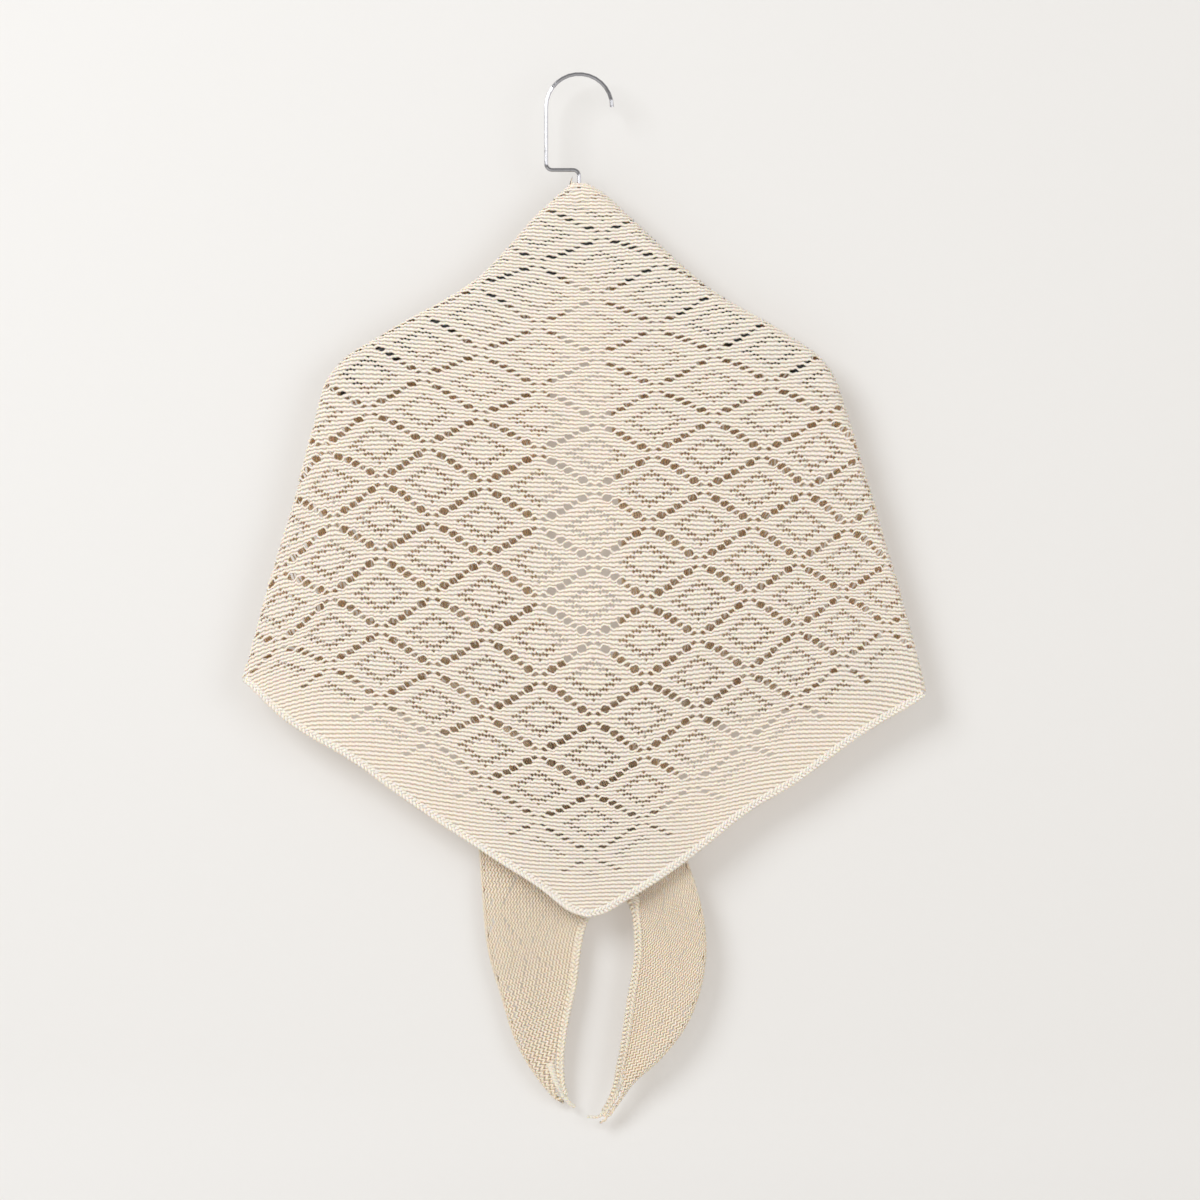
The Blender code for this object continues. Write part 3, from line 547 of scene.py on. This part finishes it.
def wing_place(side, column, row):
    """Place of a stitch on a wing; its first rows roll back along the long edge."""
    wing = WINGS[side]
    last = np.maximum(wing.last_row(column), 0.5)
    roll = np.minimum(ROLL_ROWS, last * ROLL_SHARE)
    keeps = roll * ROLL_KEEPS
    flat_row = keeps + (np.maximum(row, roll) - roll) * (last - keeps) / (last - roll)
    place = wing_in_space(side, column, flat_row / last)
    rolled = np.clip(roll - row, 0, roll)
    if rolled.max() > 0:
        inner = wing_in_space(side, column, (flat_row + 0.2 * last) / last)
        outward = place - inner
        outward /= np.linalg.norm(outward, axis=1)[:, None]
        turn = (rolled / roll * ROLL_TURN)[:, None]
        place = place + outward * ROLL_RADIUS * np.sin(turn)
        place[:, 1] += (ROLL_RADIUS * (1 - np.cos(turn)))[:, 0]
    return place


def knitted_row(place, columns, row, holes, stitch, sign):
    """Rings of four places along a knitted row: outer crest, lower edge, inner crest, upper edge."""
    wave = stitch["wave"] * np.cos(2 * math.pi * columns)
    lift = stitch["bump"] * np.cos(TEETH * columns)
    edges = []
    for side in (-0.5, 0.5):
        edge_rows = np.full_like(columns, row + side)
        given = parting(columns, edge_rows, row, holes) if len(holes) else 0
        given = given - 2 * side * stitch_gaps(columns, edge_rows)
        edges.append(edge_rows + given + wave + unevenness(columns, edge_rows))
    upper, lower = edges
    all_rows = np.concatenate((upper, (upper + lower) / 2, lower))
    high, middle, low = np.split(place(np.tile(columns, 3), all_rows), 3)
    out = np.cross(low - high, np.gradient(middle, axis=0)) * sign
    out /= np.maximum(np.linalg.norm(out, axis=1), TINY)[:, None]
    thick = WALL / 2
    return np.stack(
        [
            middle + out * (thick + lift)[:, None],
            low + out * (lift * 0.4)[:, None],
            middle - out * (thick - lift)[:, None],
            high + out * (lift * 0.4)[:, None],
        ],
        1,
    )


class Yarn:
    """Collects closed tubes and makes them one mesh."""

    def __init__(self):
        self.places = []
        self.faces = []
        self.relief = []
        self.inside = []
        self.count = 0

    def tube(self, rings, relief, flip=False):
        """rings holds a ring of places for each step along the tube; both ends are capped."""
        steps, sides = rings.shape[:2]
        numbers = self.count + np.arange(steps * sides).reshape(steps, sides)
        after = np.roll(numbers, -1, axis=1)
        quads = np.stack([numbers[:-1], after[:-1], after[1:], numbers[1:]], -1).reshape(-1, 4)
        if sides == 4:
            caps = np.array([numbers[0][::-1], numbers[-1]])
        else:
            caps = fan(numbers[0][::-1]) + fan(numbers[-1])
        quads = np.concatenate((quads, caps))
        self.faces.append(quads[:, ::-1] if flip else quads)
        self.places.append(rings.reshape(-1, 3))
        # relief: the lower it is, the more painted shade the yarn's colour takes
        self.relief.append(np.broadcast_to(relief, (steps, sides)).ravel())
        # inside is 1 on the inward crest, which takes painted warm shade
        inner = (0.0, 0.5, 1.0, 0.5) if sides == 4 else np.zeros(sides)
        self.inside.append(np.tile(inner, steps))
        self.count += steps * sides

    def made(self, name, finish):
        """The mesh as a piece of the scene, riding on the one body."""
        mesh = bpy.data.meshes.new(name)
        places = np.concatenate(self.places) * MM
        faces = np.concatenate(self.faces)
        mesh.vertices.add(len(places))
        mesh.vertices.foreach_set("co", places.ravel())
        mesh.loops.add(faces.size)
        mesh.loops.foreach_set("vertex_index", faces.ravel().astype(np.int32))
        mesh.polygons.add(len(faces))
        mesh.polygons.foreach_set("loop_start", np.arange(0, faces.size, 4, dtype=np.int32))
        mesh.polygons.foreach_set("use_smooth", np.ones(len(faces), bool))
        for reading, values in (("relief", self.relief), ("inside", self.inside)):
            attribute = mesh.attributes.new(reading, "FLOAT", "POINT")
            attribute.data.foreach_set("value", np.concatenate(values).astype(np.float32))
        mesh.update(calc_edges=True)
        mesh.validate()
        mesh.materials.append(finish)
        piece = bpy.data.objects.new(name, mesh)
        bpy.context.scene.collection.objects.link(piece)
        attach(piece, "root")
        return piece


def fan(ring):
    """Quads that close a ring of six or eight places."""
    return [[ring[0], ring[k], ring[k + 1], ring[k + 2]] for k in range(1, len(ring) - 2, 2)]


def row_relief(columns):
    """1 on the crests of a knitted row, less between its teeth, and least at its edges, where the yarn
    takes the most painted shade.
    """
    tooth = 0.5 - 0.5 * np.cos(TEETH * columns)
    crest = 1.0 - 0.30 * tooth
    edge = 0.30 * tooth
    return np.stack([crest, edge, crest, edge], 1)


def stitch_columns(first, last, steps):
    """Columns with a place on a knitted row, between its two ends."""
    between = np.arange(math.ceil(first * steps), math.floor(last * steps) + 1) / steps
    between = between[(between > first + 0.3 / steps) & (between < last - 0.3 / steps)]
    return np.concatenate(([first], between, [last]))


def with_hole_ends(columns, row, holes):
    """The same columns with one more at each end of the larger holes that touch the row."""
    near = holes[(np.abs(holes[:, 1] - row) < 0.6) & (holes[:, 2] > 0.5)]
    ends = np.concatenate((near[:, 0] - 0.97 * near[:, 2], near[:, 0] + 0.97 * near[:, 2]))
    ends = ends[(ends > columns[0] + 0.1) & (ends < columns[-1] - 0.1)]
    gaps = np.abs(ends[:, None] - columns).min(1) if len(ends) else np.zeros(0)
    return np.sort(np.concatenate((columns, ends[gaps > 0.03])))


def front_outline():
    """Flat outline of the front's knitting, which ends under the edging."""
    fold = inset(WHOLE_FOLD.evenly(FINE_SPACING), -0.4)
    distance = EDGING_WIDTH - UNDER_EDGING
    hem = np.concatenate([fine_hem_line(side, distance) for side in ("left", "right")])
    return np.concatenate((fold, hem[::-1]))


def fine_hem_line(side, distance):
    """Finely spaced line inside one of the front's lower edges, mitred at the point."""
    point = HEM.fine[:, 1].argmin()
    middle = HEM.marks[point]
    first, last = (0, middle) if side == "left" else (middle, HEM.length)
    line = inset(HEM.evenly(FINE_SPACING, first, last), distance)
    mitre = HEM.fine[point, 0]
    keeps = (line[:, 0] < mitre) if side == "left" else (line[:, 0] > mitre)
    return line[keeps]


def front_spans(rows):
    """First and last column of each knitted row of the front."""
    outline = front_outline()
    # Each row's search starts inside the front, which near the neck is left of the chart's middle
    aim = np.interp(rows, (0, 20, 40), (0, 6, 15))
    middle = steady_curve(FRONT_ROWS["row"], FRONT_ROWS["middle"], rows)
    stitch = steady_curve(FRONT_ROWS["row"], FRONT_ROWS["stitch_left"], rows)
    start = (np.minimum(aim, middle) - middle) / stitch
    spans = []
    for sign in (-1, 1):
        near, far = start.copy(), start + sign * FRONT_REACH
        for _ in range(HALVINGS["row end"]):
            half = (near + far) / 2
            within = inside(chart_on_front(half, rows), outline)
            near, far = np.where(within, half, near), np.where(within, far, half)
        spans.append(near)
    return spans


def near_row(row, sign=1):
    """Holes close enough to a row to part it, with columns counted outwards on either side."""
    openness = np.interp(HOLES[:, 1], OPENNESS["row"], OPENNESS["share"])
    to_border = LAST_ROW - BORDER - np.abs(HOLES[:, 0]) - HOLES[:, 1]
    openness *= 1 - 0.45 * smooth_step(20, 4, to_border)
    close = np.abs(HOLES[:, 1] - row) < PARTING_REACH + 0.5
    holes = HOLES[close].copy()
    holes[:, 3] *= openness[close]
    holes[:, 0] *= sign
    return holes


def front_lace(first, last, name, finish):
    """A band of the front's knitted rows."""
    rows = np.arange(first + 0.5, last)
    rows = rows[rows < LAST_ROW]
    lefts, rights = front_spans(rows)
    yarn = Yarn()
    stitches = 0.0
    for row, left, right in zip(rows, lefts, rights):
        if right - left < 1:
            continue
        holes = near_row(row)
        columns = with_hole_ends(stitch_columns(left, right, OUTSIDE_STITCH["steps"]), row, holes)
        rings = knitted_row(front_place, columns, row, holes, OUTSIDE_STITCH, 1)
        yarn.tube(rings, row_relief(columns))
        stitches += right - left
    return yarn.made(name, finish), stitches, (rights - lefts).max(), len(rows)


def wing_spans(wing, row, first, last):
    """First and last column of a wing's knitted row, from the fold to the edging."""
    columns = np.arange(first, last + COLUMN_STEP / 2, COLUMN_STEP)
    reach = wing.last_row(columns)
    share = np.maximum(wing.share_left(columns, EDGING_WIDTH - UNDER_EDGING), LEAST_SHARE)
    room = np.where(columns > wing.corner, reach * share, reach - 0.15)
    keeps = columns[room >= row]
    return (keeps[0], keeps[-1]) if len(keeps) else (0, 0)


def wing_knitting(side, first, last, name, stitch, finish):
    """The knitted rows of one stretch of a wing, between two columns."""
    wing = WINGS[side]
    sign = SIDE_SIGN[side]
    yarn = Yarn()
    stitches, widest, deepest = 0.0, 0.0, 0

    def place(column, row):
        return wing_place(side, column, row)

    for row in np.arange(0.5, LAST_ROW):
        start, end = wing_spans(wing, row, first, last)
        if end - start < 1:
            continue
        columns = stitch_columns(start, end, stitch["steps"])
        holes = near_row(row, sign)
        holes = holes[(holes[:, 0] > start - 1) & (holes[:, 0] < end + 1)]
        rings = knitted_row(place, columns, row, holes, stitch, sign)
        yarn.tube(rings, row_relief(columns), sign < 0)
        stitches += end - start
        widest = max(widest, end - start)
        deepest += 1
    return yarn.made(name, finish), stitches, widest, deepest


def smoothed(places, reach):
    """Places averaged over their neighbours, with both ends kept."""
    before = np.repeat(places[:1], reach, 0)
    after = np.repeat(places[-1:], reach, 0)
    sums = np.cumsum(np.concatenate((np.zeros((1, 3)), before, places, after)), axis=0)
    breadth = 2 * reach + 1
    return (sums[breadth:] - sums[:-breadth]) / breadth


def lengths_along(path):
    """Length from the start of a path to each of its places."""
    return np.concatenate(([0], np.cumsum(np.linalg.norm(np.diff(path, axis=0), axis=1))))


def read_along(path, marks, at):
    """Places of a path in space, read between its marks."""
    return np.stack([np.interp(at, marks, path[:, axis]) for axis in range(3)], 1)


def respaced(rails, step):
    """The same rails with places at even steps along their middle one."""
    marks = lengths_along(rails[1])
    at = np.linspace(0, marks[-1], max(2, round(marks[-1] / step)))
    return [read_along(rail, marks, at) for rail in rails], at


def round_tube(path, radius, sides=6):
    """Rings round a path; radius is one number or one for each place."""
    ahead = np.gradient(path, axis=0)
    ahead /= np.maximum(np.linalg.norm(ahead, axis=1), TINY)[:, None]
    aside = np.cross(ahead, (0.0, 1.0, 0.0))
    aside /= np.maximum(np.linalg.norm(aside, axis=1), TINY)[:, None]
    up = np.cross(aside, ahead)
    turns = np.arange(sides) * 2 * math.pi / sides
    ring = aside[:, None] * np.cos(turns)[:, None] + up[:, None] * np.sin(turns)[:, None]
    radius = np.broadcast_to(np.asarray(radius, float), len(path))
    return path[:, None] + ring * radius[:, None, None]


def braid(name, rails, finish, tip=None):
    """Three strands plaited along the rails, with small loops along the outer one."""
    rails, marks = respaced(rails, BRAID_STEP)
    outer, middle, inner = [smoothed(rail, 5) for rail in rails]
    aside = inner - outer
    width = np.linalg.norm(aside, axis=1)
    aside /= np.maximum(width, TINY)[:, None]
    ahead = np.gradient(middle, axis=0)
    ahead /= np.linalg.norm(ahead, axis=1)[:, None]
    facing = np.cross(ahead, aside)
    facing /= np.linalg.norm(facing, axis=1)[:, None]
    centre = (outer + inner) / 2
    swing = np.maximum(width / 2 - BRAID_STRAND * 0.55, 0.5)
    yarn = Yarn()
    for strand in range(3):
        turn = 2 * math.pi * (marks / BRAID_PITCH + strand / 3)
        path = centre + aside * (swing * np.sin(turn))[:, None]
        path = path + facing * (BRAID_DEPTH * np.sin(2 * turn))[:, None]
        # each strand takes painted shade where it passes under the others
        dip = 0.45 - 0.40 * np.sin(2 * turn) * np.sign(facing[:, 1].sum())
        yarn.tube(round_tube(path, BRAID_STRAND), dip[:, None])
    turn = 2 * math.pi * marks / PICOT_PITCH
    loops = PICOT_REACH * (0.5 + 0.5 * np.sin(turn)) - PICOT_SUNK
    edge = centre - aside * (width / 2 + loops)[:, None]
    edge = edge + facing * (0.5 * np.cos(turn))[:, None]
    yarn.tube(round_tube(edge, PICOT_WIRE, 4), np.ones(4))
    if tip is not None:
        twist_cord(yarn, tip)
    return yarn.made(name, finish)


def twist_cord(yarn, path):
    """The tail's very end: three strands twisted into a cord that tapers."""
    marks = lengths_along(path)
    thick = np.linspace(TIP_CORD["radius"], TIP_CORD["end_radius"], len(path))
    for strand in range(3):
        turn = 2 * math.pi * (marks / TIP_CORD["twist"] + strand / 3)
        aside = np.stack([np.cos(turn), np.sin(turn), 0.3 * np.cos(turn)], 1)
        yarn.tube(round_tube(path + aside * thick[:, None] * 0.8, thick), 0.9)


def tip_path(side):
    """Middle of a tail's last columns, down to its tip."""
    columns = np.linspace(TIP_CORD["first"], TIP_CORD["last"], TIP_CORD_PLACES)
    path = wing_in_space(side, columns, np.full_like(columns, TIP_CORD_ACROSS))
    return smoothed(path, 4)


def front_rails(side):
    """Lines along the front's edging: outer, middle, inner."""
    rails = []
    for distance in EDGING_RAILS:
        line = hem_line(side, distance)
        rails.append(front_in_space(Route(line).evenly(BRAID_STEP * 2)))
    picks = np.linspace(0, 1, min(len(rail) for rail in rails))
    return [read_along(rail, np.linspace(0, 1, len(rail)), picks) for rail in rails]


def wing_rails(side):
    """Lines along a wing's edging, down to the tip of its tail."""
    wing = WINGS[side]
    columns = np.arange(wing.corner + TIP_COLUMN_STEP, LAST_ROW - TIP_COLUMNS, TIP_COLUMN_STEP)
    rails = []
    for distance in EDGING_RAILS:
        least = TIP_SHARE + (1 - distance / EDGING_WIDTH) * TIP_SPREAD
        share = np.maximum(wing.share_left(columns, distance), least)
        rails.append(wing_in_space(side, columns, share))
    return rails


def nodes_of(name):
    """A new material with its node tree and its main shader."""
    made = bpy.data.materials.new(name)
    made.use_nodes = True
    tree = made.node_tree
    return made, tree, tree.nodes["Principled BSDF"]


def noise(tree, coordinates, scale, detail=3.0):
    """Grain at a scale given in repeats to the metre."""
    node = tree.nodes.new("ShaderNodeTexNoise")
    node.inputs["Scale"].default_value = scale
    node.inputs["Detail"].default_value = detail
    tree.links.new(coordinates, node.inputs["Vector"])
    return node.outputs["Fac"]


def mixed(tree, factor, first, second):
    """Colour between two colours, each given as a value or a socket."""
    node = tree.nodes.new("ShaderNodeMix")
    node.data_type = "RGBA"
    tree.links.new(factor, node.inputs["Factor"])
    for socket, colour in ((node.inputs[6], first), (node.inputs[7], second)):
        if isinstance(colour, tuple):
            socket.default_value = colour
        else:
            tree.links.new(colour, socket)
    return node.outputs[2]


def ranged(tree, value, low, high, lowest, highest):
    """A socket's value moved from one range to another."""
    node = tree.nodes.new("ShaderNodeMapRange")
    node.inputs["From Min"].default_value = low
    node.inputs["From Max"].default_value = high
    node.inputs["To Min"].default_value = lowest
    node.inputs["To Max"].default_value = highest
    tree.links.new(value, node.inputs["Value"])
    return node.outputs["Result"]


def yarn_material(name, crest, valley_shade, inner):
    """Soft wool: painted warm shade between the ridges and on the inward face of each row, mottled, with
    fine fibres and a light sheen.
    """
    made, tree, shader = nodes_of(name)
    coordinates = tree.nodes.new("ShaderNodeTexCoord").outputs["Object"]
    relief = tree.nodes.new("ShaderNodeAttribute")
    relief.attribute_name = "relief"
    # painted shade: the darker colour where the relief is low, between the ridges
    depth = ranged(tree, relief.outputs["Fac"], 0.0, 0.75, 0.0, 1.0)
    inside = tree.nodes.new("ShaderNodeAttribute")
    inside.attribute_name = "inside"
    # painted warm shade on the inward face of each row
    facing = ranged(tree, inside.outputs["Fac"], 0.5, 0.75, 0.0, 1.0)
    base = mixed(tree, depth, valley_shade, mixed(tree, facing, crest, inner))
    mottle = ranged(tree, noise(tree, coordinates, 28.0), 0.3, 0.7, 0.0, 0.16)
    shade = tuple(channel * 0.80 for channel in crest[:3]) + (1,)
    base = mixed(tree, mottle, base, shade)
    fibre_noise = noise(tree, coordinates, 1400.0, 2.0)
    fibres = ranged(tree, fibre_noise, 0.35, 0.7, 0.0, 0.22)
    bright = tuple(min(1.0, channel * 1.12) for channel in crest[:3]) + (1,)
    base = mixed(tree, fibres, base, bright)
    tree.links.new(base, shader.inputs["Base Color"])
    bump = tree.nodes.new("ShaderNodeBump")
    bump.inputs["Strength"].default_value = 0.5
    bump.inputs["Distance"].default_value = 0.0004
    tree.links.new(fibre_noise, bump.inputs["Height"])
    tree.links.new(bump.outputs["Normal"], shader.inputs["Normal"])
    shader.inputs["Roughness"].default_value = 0.88
    shader.inputs["Sheen Weight"].default_value = 0.25
    shader.inputs["Sheen Roughness"].default_value = 0.5
    shader.inputs["Specular IOR Level"].default_value = 0.25
    shader.inputs["Subsurface Weight"].default_value = 0.45
    shader.inputs["Subsurface Radius"].default_value = (1.0, 0.62, 0.34)
    shader.inputs["Subsurface Scale"].default_value = 0.0025
    return made


def wire_material():
    """Chromed wire with faint drawing marks."""
    made, tree, shader = nodes_of("chromed_wire")
    coordinates = tree.nodes.new("ShaderNodeTexCoord").outputs["Object"]
    marks = noise(tree, coordinates, 420.0)
    tree.links.new(ranged(tree, marks, 0.3, 0.7, 0.10, 0.24), shader.inputs["Roughness"])
    tint = mixed(tree, marks, *WIRE_TINTS)
    tree.links.new(tint, shader.inputs["Base Color"])
    shader.inputs["Metallic"].default_value = 1.0
    return made


def hanger_material():
    """Black moulded plastic with a fine spark-eroded grain."""
    made, tree, shader = nodes_of("black_moulded_plastic")
    coordinates = tree.nodes.new("ShaderNodeTexCoord").outputs["Object"]
    grain = noise(tree, coordinates, 1800.0)
    tint = mixed(tree, grain, *HANGER_TINTS)
    tree.links.new(tint, shader.inputs["Base Color"])
    tree.links.new(ranged(tree, grain, 0.3, 0.7, 0.38, 0.55), shader.inputs["Roughness"])
    bump = tree.nodes.new("ShaderNodeBump")
    bump.inputs["Strength"].default_value = 0.2
    bump.inputs["Distance"].default_value = 0.0002
    tree.links.new(grain, bump.inputs["Height"])
    tree.links.new(bump.outputs["Normal"], shader.inputs["Normal"])
    return made


def backdrop_material():
    """Pale wall and floor, which show from their front only."""
    made, tree, shader = nodes_of("pale_backdrop")
    shader.inputs["Base Color"].default_value = BACKDROP
    shader.inputs["Emission Color"].default_value = BACKDROP_GLOW
    shader.inputs["Emission Strength"].default_value = 1.0
    shader.inputs["Roughness"].default_value = 0.95
    shader.inputs["Specular IOR Level"].default_value = 0.1
    clear = tree.nodes.new("ShaderNodeBsdfTransparent")
    side = tree.nodes.new("ShaderNodeNewGeometry")
    switch = tree.nodes.new("ShaderNodeMixShader")
    tree.links.new(side.outputs["Backfacing"], switch.inputs["Fac"])
    tree.links.new(shader.outputs["BSDF"], switch.inputs[1])
    tree.links.new(clear.outputs["BSDF"], switch.inputs[2])
    tree.links.new(switch.outputs["Shader"], tree.nodes["Material Output"].inputs["Surface"])
    return made


def backdrop():
    """Wall behind the shawl, curving out into a floor below the view."""
    profile = [(WALL_PLACE, WALL_TOP), (WALL_PLACE, FLOOR_HEIGHT + FLOOR_BEND)]
    for turn in np.radians(np.arange(10, 91, 10)):
        depth = WALL_PLACE - FLOOR_BEND * (1 - math.cos(turn))
        profile.append((depth, FLOOR_HEIGHT + FLOOR_BEND * (1 - math.sin(turn))))
    profile.append((FLOOR_FRONT, FLOOR_HEIGHT))
    places = [
        (side * BACKDROP_HALF_WIDTH, depth, height)
        for depth, height in profile
        for side in (-1, 1)
    ]
    faces = [(2 * k, 2 * k + 2, 2 * k + 3, 2 * k + 1) for k in range(len(profile) - 1)]
    mesh = bpy.data.meshes.new("backdrop")
    mesh.from_pydata(places, [], faces)
    mesh.shade_smooth()
    mesh.materials.append(backdrop_material())
    made = bpy.data.objects.new("backdrop", mesh)
    bpy.context.scene.collection.objects.link(made)


def soft_light(name, place, aim, size, power):
    """Round area light that faces its aim."""
    data = bpy.data.lights.new(name, "AREA")
    data.shape = "DISK"
    data.size = size
    data.energy = power
    light = bpy.data.objects.new(name, data)
    light.location = place
    light.rotation_euler = (Vector(aim) - Vector(place)).to_track_quat("-Z", "Y").to_euler()
    bpy.context.scene.collection.objects.link(light)


def studio():
    """Soft light from the upper left, a weaker one from the right, and a camera straight in front."""
    soft_light("key_light", **KEY_LIGHT)
    soft_light("fill_light", **FILL_LIGHT)
    world = bpy.data.worlds.new("studio")
    world.use_nodes = True
    background = world.node_tree.nodes["Background"]
    background.inputs["Color"].default_value = WORLD_LIGHT
    background.inputs["Strength"].default_value = WORLD_STRENGTH
    scene = bpy.context.scene
    scene.world = world
    scene.view_settings.view_transform = "Standard"
    data = bpy.data.cameras.new("camera")
    data.sensor_width = SENSOR_WIDTH
    data.lens = SENSOR_WIDTH * CAMERA_DISTANCE / FRAME_WIDTH
    camera = bpy.data.objects.new("camera", data)
    camera.location = (CAMERA_PLACE[0], -CAMERA_DISTANCE, CAMERA_PLACE[1])
    camera.rotation_euler = (math.pi / 2, 0, 0)
    scene.collection.objects.link(camera)
    scene.camera = camera


def declare(node):
    """Hide the model's node that a stretch of the knitting stands for."""
    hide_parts(node)


def main():
    """Make every piece, dress the hanger and set up the studio."""
    cream = yarn_material("cream_yarn", CREST, PAINTED_VALLEY_SHADE, INNER_CREST_WARM_SHADE)
    # the tails and the wings' edging: a copy of the yarn darkened with painted shade
    tail_shaded_cream = yarn_material("cream_yarn_tails_shaded", TAIL_CREST_SHADED, TAIL_VALLEY_PAINTED_SHADE, TAIL_CREST_SHADED)
    for side in ("left", "right"):
        for stretch, rails in (("front", front_rails(side)), ("wing", wing_rails(side))):
            name = f"{stretch}_{side}"
            finish = cream if stretch == "front" else tail_shaded_cream
            tip = tip_path(side) if stretch == "wing" else None
            braid("braid_" + name, rails, finish, tip)
            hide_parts("edging_" + name)
    for number, (first, last) in enumerate(FRONT_BANDS):
        made = front_lace(first, last, f"front_lace_{number + 1}", cream)
        declare("front_panel")
    for side in ("left", "right"):
        other = {"left": "right", "right": "left"}[side]
        start = HOOK_COLUMN * SIDE_SIGN[side]
        split = TAIL_FIRST_COLUMN
        end = LAST_ROW - TAIL_END_COLUMNS
        upper = wing_knitting(side, start, split, "wing_lace_" + side, HIDDEN_STITCH, cream)
        declare("wing_" + side)
        tail = wing_knitting(side, split, end, "tail_lace_" + other, TAIL_STITCH, tail_shaded_cream)
        declare("tail_" + other)
    for node, finish in (("hanger_hook", wire_material()), ("hanger_body", hanger_material())):
        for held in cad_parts[node].material_slots:
            held.material = finish
    backdrop()
    studio()


main()
